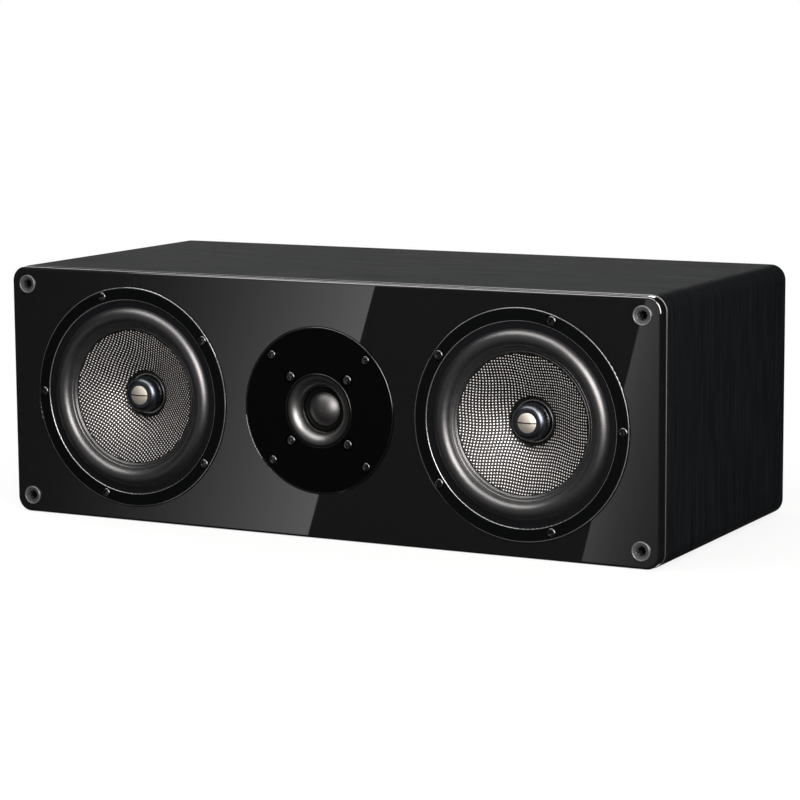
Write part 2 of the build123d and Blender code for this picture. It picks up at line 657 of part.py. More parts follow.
def woofer_spider():
    """Corrugated cloth damper between the frame's ledge and the coil former."""
    inner = FORMER_RADIUS + FIT_GAP
    foot = SPIDER_SEAT - SPIDER_THICKNESS
    first = BASKET_CUP_BORE - SPIDER_THICKNESS
    pitch = (first - inner - SPIDER_COLLAR) / SPIDER_WAVES
    front = [(BASKET_CUP_BORE + SPIDER_LEDGE_WIDTH - GLUE_GAP, foot), (first, foot)]
    for wave in range(SPIDER_WAVES):
        front.append((first - (wave + 1 / 4) * pitch, foot - SPIDER_WAVE_HEIGHT / 2))
        front.append((first - (wave + 3 / 4) * pitch, foot + SPIDER_WAVE_HEIGHT / 2))
    front += [(inner + SPIDER_COLLAR, foot), (inner, foot)]
    back = [(radius, depth + SPIDER_THICKNESS) for radius, depth in reversed(front)]
    return turned_from(*front, *back)


def voice_coil_former():
    """Thin tube glued into the cone's neck; its front edge shows as a fine ring."""
    back = COIL_MIDDLE + COIL_LENGTH / 2 + FORMER_TAIL
    return ring(FORMER_RADIUS, COIL_INNER_RADIUS, NECK_DEPTH - FORMER_PROUD, back)


def voice_coil():
    """Copper winding on the former, centred in the magnetic gap."""
    return ring(COIL_RADIUS, FORMER_RADIUS, COIL_MIDDLE - COIL_LENGTH / 2, COIL_MIDDLE + COIL_LENGTH / 2)


def phase_plug():
    """Turned plug on the pole: a straight stem, a rounded shoulder and a seat for its screw."""
    shoulder = PLUG_TIP + PLUG_SHOULDER
    bend = sin(radians(45))
    middle = (
        PLUG_TIP_RADIUS + (PLUG_RADIUS - PLUG_TIP_RADIUS) * bend,
        PLUG_TIP + PLUG_SHOULDER * (1 - bend),
    )
    head_hole = PLUG_SCREW_HEAD_RADIUS + PLUG_SCREW_RIM_GAP
    shank_hole = PLUG_SCREW_SHANK_RADIUS + FIT_GAP
    seat = PLUG_TIP + PLUG_SCREW_SEAT_DEPTH
    return turned(
        ThreePointArc((PLUG_RADIUS, shoulder), middle, (PLUG_TIP_RADIUS, PLUG_TIP)),
        Polyline(
            (PLUG_TIP_RADIUS, PLUG_TIP),
            (head_hole, PLUG_TIP),
            (head_hole, seat),
            (shank_hole, seat),
            (shank_hole, BASKET_BACK),
            (PLUG_RADIUS, BASKET_BACK),
            (PLUG_RADIUS, shoulder),
        ),
    )


def phase_plug_screw():
    """Domed slotted screw that holds the plug to the pole."""
    seat = PLUG_TIP + PLUG_SCREW_SEAT_DEPTH
    edge = PLUG_TIP + PLUG_SCREW_INSET
    crown = edge - PLUG_SCREW_DOME
    end = BASKET_BACK + PLUG_SCREW_BITE
    radius = PLUG_SCREW_HEAD_RADIUS
    sphere = (radius**2 + PLUG_SCREW_DOME**2) / (2 * PLUG_SCREW_DOME)
    half_depth = crown + sphere - (sphere**2 - (radius / 2) ** 2) ** 0.5
    body = turned(
        ThreePointArc((radius, edge), (radius / 2, half_depth), (0, crown)),
        Polyline(
            (0, crown),
            (0, end),
            (PLUG_SCREW_SHANK_RADIUS, end),
            (PLUG_SCREW_SHANK_RADIUS, seat),
            (radius, seat),
            (radius, edge),
        ),
    )
    return body - Pos(0, 0, crown) * Box(2 * PLUG_RADIUS, PLUG_SCREW_SLOT_WIDTH, 2 * PLUG_SCREW_SLOT_DEPTH)


def top_plate():
    """Steel front plate of the motor, bored for the coil."""
    return ring(TOP_PLATE_RADIUS, COIL_RADIUS + MAGNETIC_GAP, BASKET_BACK, TOP_PLATE_BACK)


def magnet():
    """Ferrite ring."""
    return ring(MAGNET_RADIUS, MAGNET_BORE, TOP_PLATE_BACK, MAGNET_BACK)


def yoke():
    """Rear plate and pole in one, tapped for the phase plug's screw."""
    tapped = PLUG_SCREW_SHANK_RADIUS + FIT_GAP
    bottom = BASKET_BACK + PLUG_SCREW_BITE + TAPPED_RUNOUT
    return turned_from(
        (0, bottom),
        (tapped, bottom),
        (tapped, BASKET_BACK),
        (POLE_RADIUS, BASKET_BACK),
        (POLE_RADIUS, MAGNET_BACK),
        (TOP_PLATE_RADIUS, MAGNET_BACK),
        (TOP_PLATE_RADIUS, YOKE_BACK),
        (0, YOKE_BACK),
    )


def tag_strip(radius, middle):
    """Terminal strip with two solder blades, seated under a round wall."""
    base = radius - TAG_BLOCK_SINK
    seated = (Align.CENTER, Align.MIN, Align.CENTER)
    block = Pos(0, base, middle) * Box(TAG_BLOCK_WIDTH, TAG_BLOCK_HEIGHT, TAG_BLOCK_DEPTH, align=seated)
    block -= disc(radius + FIT_GAP, middle - TAG_BLOCK_DEPTH, middle + TAG_BLOCK_DEPTH)
    blade = Pos(0, base + TAG_BLOCK_HEIGHT, middle) * Box(TAG_WIDTH, TAG_LENGTH, TAG_THICKNESS, align=seated)
    return block + [Pos(side * TAG_BLOCK_WIDTH / 4, 0, 0) * blade for side in SIDES.values()]


# Tweeter


def tweeter_faceplate():
    """Moulded faceplate with a beaded flare round the dome and a boss behind it."""
    bead_face = TWEETER_FACE - TWEETER_BEAD_HEIGHT
    bead_outer = TWEETER_FLARE_RADIUS + TWEETER_BEAD_WIDTH
    throat = TWEETER_BOSS_DEPTH - TWEETER_THROAT_LAND
    bend = 1 - cos(radians(45))
    middle = (
        TWEETER_THROAT_RADIUS + bend * (TWEETER_FLARE_RADIUS - TWEETER_THROAT_RADIUS),
        bead_face + bend * (throat - bead_face),
    )
    body = turned(
        ThreePointArc((TWEETER_THROAT_RADIUS, throat), middle, (TWEETER_FLARE_RADIUS, bead_face)),
        Line((TWEETER_FLARE_RADIUS, bead_face), (bead_outer - TWEETER_BEAD_HEIGHT, bead_face)),
        quarter_round(bead_outer, bead_face, TWEETER_BEAD_HEIGHT, 1),
        Line((bead_outer, TWEETER_FACE), (TWEETER_RADIUS - TWEETER_EDGE_ROUND, TWEETER_FACE)),
        quarter_round(TWEETER_RADIUS, TWEETER_FACE, TWEETER_EDGE_ROUND, 1),
        Polyline(
            (TWEETER_RADIUS, TWEETER_FACE + TWEETER_EDGE_ROUND),
            (TWEETER_RADIUS, TWEETER_PLATE_BACK),
            (TWEETER_BOSS_RADIUS, TWEETER_PLATE_BACK),
            (TWEETER_BOSS_RADIUS, TWEETER_BOSS_DEPTH),
            (TWEETER_THROAT_RADIUS, TWEETER_BOSS_DEPTH),
            (TWEETER_THROAT_RADIUS, throat),
        ),
    )
    body -= tweeter_ring(TWEETER_SCREW.pocket(TWEETER_FACE, TWEETER_PLATE_BACK), TWEETER_SCREW_CIRCLE_RADIUS)
    return body - tweeter_ring(
        ASSEMBLY_SCREW.pocket(TWEETER_FACE, TWEETER_BOSS_DEPTH), ASSEMBLY_SCREW_CIRCLE_RADIUS
    )


def tweeter_gasket():
    """Foam ring under the faceplate."""
    body = ring(TWEETER_RADIUS, TWEETER_BOSS_RADIUS + REBATE_GAP, TWEETER_PLATE_BACK, TWEETER_REBATE)
    hole = TWEETER_SCREW.hole(TWEETER_PLATE_BACK, TWEETER_REBATE)
    return body - tweeter_ring(hole, TWEETER_SCREW_CIRCLE_RADIUS)


def tweeter_dome():
    """Coated cloth dome, its half roll and its clamped lip, formed as one piece."""
    front, back, wall = TWEETER_BOSS_DEPTH, DOME_BACK, DOME_THICKNESS
    roll_outer = TWEETER_THROAT_RADIUS - DOME_ROLL_GAP
    outer = TWEETER_THROAT_RADIUS + DOME_LIP_WIDTH
    middle = (roll_outer + DOME_RADIUS) / 2
    crown = front - DOME_HEIGHT
    sphere = (DOME_RADIUS**2 + DOME_HEIGHT**2) / (2 * DOME_HEIGHT)
    half = DOME_RADIUS / 2
    half_depth = crown + sphere - (sphere**2 - half**2) ** 0.5
    return turned(
        Polyline((roll_outer - wall, back), (outer, back), (outer, front), (roll_outer, front)),
        ThreePointArc((roll_outer, front), (middle, front - DOME_ROLL_HEIGHT), (DOME_RADIUS, front)),
        ThreePointArc((DOME_RADIUS, front), (half, half_depth), (0, crown)),
        Line((0, crown), (0, crown + wall)),
        ThreePointArc((0, crown + wall), (half - wall / 2, half_depth + wall), (DOME_RADIUS - wall, back)),
        Line((DOME_RADIUS - wall, back), (DOME_RADIUS + wall, back)),
        ThreePointArc(
            (DOME_RADIUS + wall, back), (middle, back - DOME_ROLL_HEIGHT), (roll_outer - wall, back)
        ),
    )


def tweeter_voice_coil():
    """Coil on its former, hung from the foot of the dome into the gap."""
    inner = TWEETER_COIL_RADIUS - TWEETER_COIL_THICKNESS
    return ring(TWEETER_COIL_RADIUS, inner, DOME_BACK, DOME_BACK + TWEETER_COIL_LENGTH)


def tweeter_top_plate():
    """Steel plate behind the faceplate's boss, tapped for the assembly screws."""
    body = ring(TWEETER_PLATE_RADIUS, TWEETER_COIL_RADIUS + TWEETER_GAP, DOME_BACK, TWEETER_STACK)
    return body - tweeter_ring(ASSEMBLY_SCREW.hole(DOME_BACK, TWEETER_STACK), ASSEMBLY_SCREW_CIRCLE_RADIUS)


def tweeter_magnet():
    """Ferrite ring, inside the circle of the assembly screws."""
    return ring(TWEETER_MAGNET_RADIUS, TWEETER_MAGNET_BORE, TWEETER_STACK, TWEETER_MAGNET_BACK)


def tweeter_yoke():
    """Rear plate and vented pole."""
    pole = TWEETER_COIL_RADIUS - TWEETER_COIL_THICKNESS - TWEETER_GAP
    return turned_from(
        (TWEETER_VENT_RADIUS, DOME_BACK),
        (pole, DOME_BACK),
        (pole, TWEETER_MAGNET_BACK),
        (TWEETER_YOKE_RADIUS, TWEETER_MAGNET_BACK),
        (TWEETER_YOKE_RADIUS, TWEETER_YOKE_BACK),
        (TWEETER_VENT_RADIUS, TWEETER_YOKE_BACK),
    )


def tweeter_chamber():
    """Moulded cup behind the yoke that closes the vent."""
    end = TWEETER_YOKE_BACK + CHAMBER_DEPTH
    cup = disc(CHAMBER_RADIUS, TWEETER_YOKE_BACK, end)
    cup = fillet(cup.edges().group_by(Axis.Z)[-1], CHAMBER_WALL)
    return cup - disc(CHAMBER_RADIUS - CHAMBER_WALL, TWEETER_YOKE_BACK, end - CHAMBER_WALL)


# Terminal cup and binding posts; heights are measured out from the cup's floor


def cup_dish(wall, floor):
    """A drafted block that narrows towards the floor, for the recess or for its outside."""
    mouth = RectangleRounded(
        CUP_WIDTH - 2 * (CUP_RIM - wall), CUP_HEIGHT - 2 * (CUP_RIM - wall), CUP_CORNER_RADIUS
    )
    return Pos(0, 0, CUP_DEPTH) * extrude(mouth, floor - CUP_DEPTH, taper=CUP_DRAFT_DEG)


def terminal_cup():
    """Moulded dish: a flange on the rear panel and a drafted recess with two holes in its floor."""
    flange = extrude(RectangleRounded(CUP_WIDTH, CUP_HEIGHT, CUP_CORNER_RADIUS), -CUP_FLANGE)
    flange = fillet(flange.faces().sort_by(Axis.Z)[-1].edges(), CUP_FLANGE_ROUND)
    body = Pos(0, 0, CUP_DEPTH) * flange + cup_dish(CUP_WALL, -CUP_WALL) - cup_dish(0, 0)
    stud_hole = disc(STUD_TAIL_RADIUS + FIT_GAP, -CUP_WALL, 0)
    body -= [Pos(x, 0, 0) * stud_hole for x in POST_X.values()]
    screw_hole = CUP_SCREW.hole(CUP_DEPTH - CUP_FLANGE, CUP_DEPTH)
    return at_depth(CUP_FLOOR) * (body - [place * screw_hole for place in CUP_SCREW_PLACES])


def terminal_cup_screws():
    """The cup's four mounting screws, near the corners of its flange."""
    screw = Rot(180, 0, 0) * CUP_SCREW.solid()
    return [at_depth(SLEEVE_BACK + CUP_FLANGE) * place * screw for place in CUP_SCREW_PLACES]


def post_collar():
    """Insulating collar between the stud's seat and the cup."""
    inner = STUD_TAIL_RADIUS + FIT_GAP
    return turned_from(
        (inner, 0),
        (COLLAR_RADIUS, 0),
        (COLLAR_RADIUS, COLLAR_HEIGHT - COLLAR_CHAMFER),
        (COLLAR_RADIUS - COLLAR_CHAMFER, COLLAR_HEIGHT),
        (inner, COLLAR_HEIGHT),
    )


def post_stud():
    """Plated brass stud: a threaded barrel bored for a plug, a seat, a wire hole and a tail."""
    seat = COLLAR_HEIGHT + STUD_SEAT_HEIGHT
    bottom = STUD_LENGTH - BANANA_BORE_DEPTH
    body = turned_from(
        (0, -STUD_TAIL_LENGTH),
        (STUD_TAIL_RADIUS, -STUD_TAIL_LENGTH),
        (STUD_TAIL_RADIUS, COLLAR_HEIGHT),
        (STUD_SEAT_RADIUS, COLLAR_HEIGHT),
        (STUD_SEAT_RADIUS, seat),
        (STUD_RADIUS, seat),
        (STUD_RADIUS, STUD_LENGTH),
        (BANANA_BORE_RADIUS, STUD_LENGTH),
        (BANANA_BORE_RADIUS, bottom),
        (0, bottom),
    )
    wire_hole = Rot(90, 0, 0) * Cylinder(WIRE_HOLE_RADIUS, 2 * STUD_SEAT_RADIUS)
    return body - Pos(0, 0, seat + WIRE_HOLE_HEIGHT) * wire_hole


def post_insert():
    """Threaded brass insert that travels along the stud inside the cap."""
    return ring(INSERT_RADIUS, STUD_RADIUS + THREAD_GAP, CAP_FOOT, CAP_FOOT + INSERT_LENGTH)


def post_cap():
    """Fluted plastic cap over the insert, with a hole in its end for a plug."""
    barrel = STUD_RADIUS + THREAD_GAP
    insert = INSERT_RADIUS + THREAD_GAP
    insert_end = CAP_FOOT + INSERT_LENGTH + THREAD_GAP
    barrel_end = STUD_LENGTH + CAP_END_GAP
    end = barrel_end + CAP_END_WALL
    body = turned_from(
        (insert, CAP_FOOT),
        (CAP_RADIUS - CAP_FOOT_CHAMFER, CAP_FOOT),
        (CAP_RADIUS, CAP_FOOT + CAP_FOOT_CHAMFER),
        (CAP_RADIUS, end - CAP_END_CHAMFER),
        (CAP_RADIUS - CAP_END_CHAMFER, end),
        (CAP_END_HOLE_RADIUS, end),
        (CAP_END_HOLE_RADIUS, barrel_end),
        (barrel, barrel_end),
        (barrel, insert_end),
        (insert, insert_end),
    )
    flute = disc(CAP_FLUTE_RADIUS, CAP_FOOT + CAP_FLUTE_MARGIN, end - CAP_FLUTE_MARGIN)
    return body - polar(flute, CAP_RADIUS + CAP_FLUTE_RADIUS - CAP_FLUTE_DEPTH, CAP_FLUTES, 0)


def post_nut():
    """Washer and nut that clamp the stud from inside the cabinet."""
    hole = STUD_TAIL_RADIUS + FIT_GAP
    washer_back = -CUP_WALL - WASHER_HEIGHT
    nut = extrude(RegularPolygon(NUT_ACROSS_FLATS / 2, HEX_SIDES, major_radius=False), -NUT_HEIGHT)
    nut = Pos(0, 0, washer_back) * nut - disc(hole, washer_back - NUT_HEIGHT, washer_back)
    return nut + ring(WASHER_RADIUS, hole, washer_back, -CUP_WALL)


# Crossover


def on_board():
    """A frame on the crossover board's upper face, at its middle."""
    y = BAFFLE_FACE_Y + REAR_INNER - BOARD_REAR_GAP - BOARD_DEPTH / 2
    return Pos(0, y, SLEEVE_WALL + STANDOFF_HEIGHT + BOARD_THICKNESS)


def crossover_board():
    """Circuit board on four standoffs."""
    outline = RectangleRounded(BOARD_WIDTH, BOARD_DEPTH, BOARD_CORNER_RADIUS)
    return on_board() * extrude(outline, -BOARD_THICKNESS)


def crossover_standoffs():
    """Nylon standoffs between the cabinet's floor and the board."""
    post = disc(STANDOFF_RADIUS, -STANDOFF_HEIGHT - BOARD_THICKNESS, -BOARD_THICKNESS)
    return [on_board() * place * post for place in STANDOFF_PLACES]


def crossover_chokes():
    """Air core chokes: one flat on the board, one on its edge so that the two don't couple."""
    choke = ring(CHOKE_RADIUS, CHOKE_BORE, 0, CHOKE_HEIGHT)
    x = BOARD_WIDTH / 2 - CHOKE_RADIUS - CHOKE_EDGE_GAP
    on_edge = Pos(-x, CHOKE_HEIGHT / 2, CHOKE_RADIUS) * Rot(90, 0, 0) * choke
    return [on_board() * Pos(x, 0, 0) * choke, on_board() * on_edge]


def crossover_capacitors():
    """Film capacitors lying side by side in the middle of the board."""
    pitch = 2 * CAPACITOR_RADIUS + CAPACITOR_GAP
    body = Rot(0, 90, 0) * Cylinder(CAPACITOR_RADIUS, CAPACITOR_LENGTH)
    return [on_board() * Pos(0, row * pitch, CAPACITOR_RADIUS) * body for row in (-1, 0, 1)]


def crossover_resistor():
    """Cement block resistor beside the capacitors."""
    y = (BOARD_DEPTH - RESISTOR_WIDTH) / 2 - RESISTOR_EDGE_GAP
    block = Box(RESISTOR_LENGTH, RESISTOR_WIDTH, RESISTOR_HEIGHT)
    block = fillet(block.edges().filter_by(Axis.X), RESISTOR_ROUND)
    return on_board() * Pos(0, y, RESISTOR_HEIGHT / 2) * block


# Nodes


def woofer_nodes(name, side):
    """Every piece of one woofer, by node name."""
    pieces = {
        "woofer_basket": woofer_basket(side),
        "woofer_surround": woofer_surround(),
        "woofer_cone": woofer_cone(),
        "woofer_spider": woofer_spider(),
        "voice_coil_former": voice_coil_former(),
        "voice_coil": voice_coil(),
        "phase_plug": phase_plug(),
        "top_plate": top_plate(),
        "magnet": magnet(),
        "yoke": yoke(),
    }
    frame = at_depth(0, side * WOOFER_OFFSET)
    return {f"{name}_{piece}": [frame * solid] for piece, solid in pieces.items()}


def woofer_groups():
    """The small pieces that both woofers share: gaskets, screws and terminal strips."""
    groups = {"woofer_gaskets": [], "woofer_screws": [], "phase_plug_screws": [], "woofer_terminals": []}
    for side in SIDES.values():
        frame = at_depth(0, side * WOOFER_OFFSET)
        groups["woofer_gaskets"].append(frame * woofer_gasket(side))
        groups["woofer_screws"] += [frame * screw for screw in woofer_ring(WOOFER_SCREW.solid(), side)]
        groups["phase_plug_screws"].append(frame * phase_plug_screw())
        strip = tag_strip(BASKET_CUP_RADIUS, SPIDER_SEAT + BASKET_CUP_HEIGHT / 2)
        groups["woofer_terminals"].append(frame * strip)
    return groups


def tweeter_nodes():
    """Every piece of the tweeter, by node name."""
    pieces = {
        "tweeter_faceplate": [tweeter_faceplate()],
        "tweeter_gasket": [tweeter_gasket()],
        "tweeter_dome": [tweeter_dome()],
        "tweeter_voice_coil": [tweeter_voice_coil()],
        "tweeter_top_plate": [tweeter_top_plate()],
        "tweeter_magnet": [tweeter_magnet()],
        "tweeter_yoke": [tweeter_yoke()],
        "tweeter_rear_chamber": [tweeter_chamber()],
        "tweeter_mounting_screws": tweeter_ring(TWEETER_SCREW.solid(), TWEETER_SCREW_CIRCLE_RADIUS),
        "tweeter_assembly_screws": tweeter_ring(ASSEMBLY_SCREW.solid(), ASSEMBLY_SCREW_CIRCLE_RADIUS),
        "tweeter_terminals": [tag_strip(CHAMBER_RADIUS, TWEETER_YOKE_BACK + CHAMBER_DEPTH / 2)],
    }
    return {name: [at_depth() * solid for solid in solids] for name, solids in pieces.items()}


def post_nodes():
    """Every piece of both binding posts, by node name."""
    nodes = {"post_collars": [], "post_nuts": []}
    for colour, x in POST_X.items():
        frame = at_depth(CUP_FLOOR, x)
        nodes[f"{colour}_post_stud"] = [frame * post_stud()]
        nodes[f"{colour}_post_insert"] = [frame * post_insert()]
        nodes[f"{colour}_post_cap"] = [frame * post_cap()]
        nodes["post_collars"].append(frame * post_collar())
        nodes["post_nuts"].append(frame * post_nut())
    return nodes


def all_nodes():
    """Every node of the speaker, as a list of solids by name."""
    nodes = {
        "cabinet_sleeve": [cabinet_sleeve()],
        "front_baffle": [front_baffle()],
        "rear_panel": [rear_panel()],
        "damping_foam": damping_foam(),
        "grille_sockets": grille_sockets(),
        "terminal_cup": [terminal_cup()],
        "terminal_cup_screws": terminal_cup_screws(),
        "crossover_board": [crossover_board()],
        "crossover_standoffs": crossover_standoffs(),
        "crossover_chokes": crossover_chokes(),
        "crossover_capacitors": crossover_capacitors(),
        "crossover_resistor": [crossover_resistor()],
    }
    for name, side in SIDES.items():
        nodes[f"{name}_brace"] = [brace(side)]
        nodes.update(woofer_nodes(name, side))
    return nodes | woofer_groups() | tweeter_nodes() | post_nodes()


os.makedirs("parts", exist_ok=True)
for node, solids in all_nodes().items():
    shape = solids[0] if len(solids) == 1 else Compound(children=solids)
    export_step(shape, f"parts/{node}.step")
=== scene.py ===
import math

import bpy
import numpy as np
from mathutils import Matrix, Vector


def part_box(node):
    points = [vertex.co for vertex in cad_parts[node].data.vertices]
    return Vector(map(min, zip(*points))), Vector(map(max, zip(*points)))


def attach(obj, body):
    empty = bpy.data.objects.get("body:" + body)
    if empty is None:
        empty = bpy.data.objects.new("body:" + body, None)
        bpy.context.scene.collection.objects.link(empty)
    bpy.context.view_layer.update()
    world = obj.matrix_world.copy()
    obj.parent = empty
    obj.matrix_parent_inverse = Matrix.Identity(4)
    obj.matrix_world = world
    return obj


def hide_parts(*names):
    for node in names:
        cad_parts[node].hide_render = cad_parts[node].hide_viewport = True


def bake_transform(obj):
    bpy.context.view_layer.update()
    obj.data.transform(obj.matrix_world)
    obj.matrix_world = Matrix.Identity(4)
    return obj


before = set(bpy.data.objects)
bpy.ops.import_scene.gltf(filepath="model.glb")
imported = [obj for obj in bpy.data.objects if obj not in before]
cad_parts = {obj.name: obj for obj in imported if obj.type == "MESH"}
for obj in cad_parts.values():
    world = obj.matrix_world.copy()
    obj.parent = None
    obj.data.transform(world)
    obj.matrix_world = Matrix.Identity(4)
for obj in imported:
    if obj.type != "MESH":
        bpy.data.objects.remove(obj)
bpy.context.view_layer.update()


# Cabinet sleeve: the top, bottom and sides of the box, one board folded round at the long edges.
# It is wrapped in a black ash foil whose embossed pores run up the sides and across the top.
def finish(name, colour, roughness, metallic=0.0, specular=0.5):
    material = bpy.data.materials.new(name)
    material.use_nodes = True
    shader = material.node_tree.nodes["Principled BSDF"]
    shader.inputs["Base Color"].default_value = (*colour, 1)
    shader.inputs["Roughness"].default_value = roughness
    shader.inputs["Metallic"].default_value = metallic
    shader.inputs["Specular IOR Level"].default_value = specular
    return material


def add_node(material, kind, links=(), **values):
    node = material.node_tree.nodes.new(kind)
    for key, value in values.items():
        if key in node.bl_rna.properties:
            setattr(node, key, value)
        else:
            node.inputs[key.replace("_", " ")].default_value = value
    for socket, source in links:
        material.node_tree.links.new(source, node.inputs[socket])
    return node


def feed(material, socket, source):
    material.node_tree.links.new(source, material.node_tree.nodes["Principled BSDF"].inputs[socket])


def stretched_noise(material, scale, detail=4.0, distortion=0.0):
    place = add_node(material, "ShaderNodeTexCoord")
    spread = add_node(material, "ShaderNodeMapping", [("Vector", place.outputs["Object"])], Scale=scale)
    return add_node(
        material,
        "ShaderNodeTexNoise",
        [("Vector", spread.outputs["Vector"])],
        Scale=1.0,
        Detail=detail,
        Roughness=0.6,
        Distortion=distortion,
    ).outputs["Fac"]


def ranged(material, source, low, high, start=0.3, end=0.7):
    node = add_node(material, "ShaderNodeMapRange", [("Value", source)])
    for socket, value in (("From Min", start), ("From Max", end), ("To Min", low), ("To Max", high)):
        node.inputs[socket].default_value = value
    return node.outputs["Result"]


def two_tone(material, source, first, second):
    node = add_node(material, "ShaderNodeMix", data_type="RGBA")
    colours = [socket for socket in node.inputs if socket.type == "RGBA"]
    colours[0].default_value = (*first, 1)
    colours[1].default_value = (*second, 1)
    material.node_tree.links.new(source, node.inputs["Factor"])
    return next(socket for socket in node.outputs if socket.type == "RGBA")


def relief(material, height, strength, depth):
    bump = add_node(material, "ShaderNodeBump", [("Height", height)], Strength=strength, Distance=depth)
    feed(material, "Normal", bump.outputs["Normal"])


def dress(material, *names):
    for name in names:
        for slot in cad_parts[name].material_slots:
            slot.material = material


GRAIN_ALONG, GRAIN_ACROSS = 14, 900
PORE_EDGES = (0.42, 0.62)
PORE_RELIEF, PORE_DEPTH = 0.35, 0.00012


def ash_grain(material, scale, dark, light, rough, smooth):
    """Embossed pores: fine dark lines, lower and rougher than the foil between them."""
    pores = stretched_noise(material, scale, detail=3.0, distortion=0.4)
    lines = ranged(material, pores, 0.0, 1.0, *PORE_EDGES)
    feed(material, "Base Color", two_tone(material, lines, dark, light))
    feed(material, "Roughness", ranged(material, pores, rough, smooth))
    relief(material, lines, PORE_RELIEF, PORE_DEPTH)


ash_foil = finish("black_ash_foil", (0.006, 0.006, 0.0065), 0.52, specular=0.002)
sleeve_grain = (GRAIN_ALONG, GRAIN_ACROSS, GRAIN_ALONG)
ash_grain(ash_foil, sleeve_grain, (0.0027, 0.0031, 0.0034), (0.0058, 0.0067, 0.0074), 0.62, 0.46)
dress(ash_foil, "cabinet_sleeve")


# Foil edge: the cut edge of the foil, which shows as a fine pale line round the front of the sleeve.
# The knife leaves it bevelled; its paleness is painted highlight, palest along the top and towards the right, where
# the light falls.
MM = 0.001
EDGE_SECTION = ((0.12, 0.42), (0.42, 0.12), (0.34, 0.03), (0.03, 0.34))
EDGE_CORNER, EDGE_STEPS = 12.5, 12
HIGHLIGHT_REACH = 0.02
sleeve_low, sleeve_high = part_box("cabinet_sleeve")


def add_piece(name, points, faces, material, crease=None):
    """A mesh object. With a crease angle, in degrees, its gentler edges are smooth."""
    mesh = bpy.data.meshes.new(name)
    mesh.from_pydata(points, [], faces)
    if crease is not None:
        mesh.polygons.foreach_set("use_smooth", [True] * len(mesh.polygons))
        mesh.set_sharp_from_angle(angle=math.radians(crease))
    mesh.materials.append(material)
    piece = bpy.data.objects.new(name, mesh)
    bpy.context.scene.collection.objects.link(piece)
    return piece


def object_axes(material):
    place = add_node(material, "ShaderNodeTexCoord")
    return add_node(material, "ShaderNodeSeparateXYZ", [("Vector", place.outputs["Object"])]).outputs


def foil_edge_ring(inset, depth):
    radius = EDGE_CORNER - inset
    half_x = (sleeve_high.x - sleeve_low.x) / 2 / MM - EDGE_CORNER
    half_z = (sleeve_high.z - sleeve_low.z) / 2 / MM - EDGE_CORNER
    points = []
    for quarter, (sx, sz) in enumerate(((1, 1), (-1, 1), (-1, -1), (1, -1))):
        for step in range(EDGE_STEPS + 1):
            angle = math.pi / 2 * (quarter + step / EDGE_STEPS)
            x = sx * half_x + radius * math.cos(angle)
            z = sz * half_z + radius * math.sin(angle)
            points.append((x * MM, sleeve_low.y + depth * MM, z * MM + (sleeve_low.z + sleeve_high.z) / 2))
    return points


edge_rings = [foil_edge_ring(inset, depth) for inset, depth in EDGE_SECTION]
edge_count = len(edge_rings[0])
edge_points = [point for ring in edge_rings for point in ring]
edge_faces = [
    (
        a * edge_count + i,
        b * edge_count + i,
        b * edge_count + (i + 1) % edge_count,
        a * edge_count + (i + 1) % edge_count,
    )
    for a, b in ((0, 1), (1, 2), (2, 3), (3, 0))
    for i in range(edge_count)
]
foil_edge_highlight = finish("foil_edge_highlight", (0.1, 0.1, 0.1), 0.35)
broken = ranged(foil_edge_highlight, stretched_noise(foil_edge_highlight, (1400, 1400, 1400), detail=2.0), 0.55, 1.0, 0.35, 0.65)
edge_axes = object_axes(foil_edge_highlight)
highlight_start, highlight_right = sleeve_high.z - HIGHLIGHT_REACH, sleeve_high.x - HIGHLIGHT_REACH
# Painted highlight: the edge's colour grows paler towards the top and the right, broken by random tone.
painted_highlight_rise = ranged(foil_edge_highlight, edge_axes["Z"], 0.08, 0.26, sleeve_low.z, highlight_start)
painted_top_highlight = ranged(foil_edge_highlight, edge_axes["Z"], 0.0, 0.45, highlight_start, sleeve_high.z)
painted_right_highlight = ranged(foil_edge_highlight, edge_axes["X"], 0.25, 1.0, 0.0, highlight_right)
painted_highlight = add_node(foil_edge_highlight, "ShaderNodeMath", [(0, painted_highlight_rise), (1, painted_top_highlight)], operation="ADD")
for share in (painted_right_highlight, broken):
    painted_highlight = add_node(foil_edge_highlight, "ShaderNodeMath", [(0, painted_highlight.outputs[0]), (1, share)], operation="MULTIPLY")
feed(foil_edge_highlight, "Base Color", two_tone(foil_edge_highlight, painted_highlight.outputs[0], (0.012, 0.013, 0.014), (0.3, 0.31, 0.315)))
foil_edge = add_piece("foil_edge", edge_points, edge_faces, foil_edge_highlight)
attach(foil_edge, "cabinet")


# Inside of the box: raw fibreboard braces, foam sheets and the crossover on its board.
# None of it shows from outside, and each keeps the plain finish of its stuff.
def plain_stuff(name, light, dark, grain, roughness, metallic=0.0):
    material = finish(name, light, roughness, metallic)
    noise = stretched_noise(material, (1 / grain,) * 3)
    feed(material, "Base Color", two_tone(material, ranged(material, noise, 0.0, 1.0), dark, light))
    feed(material, "Roughness", ranged(material, noise, roughness - 0.06, roughness + 0.06))
    relief(material, noise, 0.2, grain / 8)
    return material


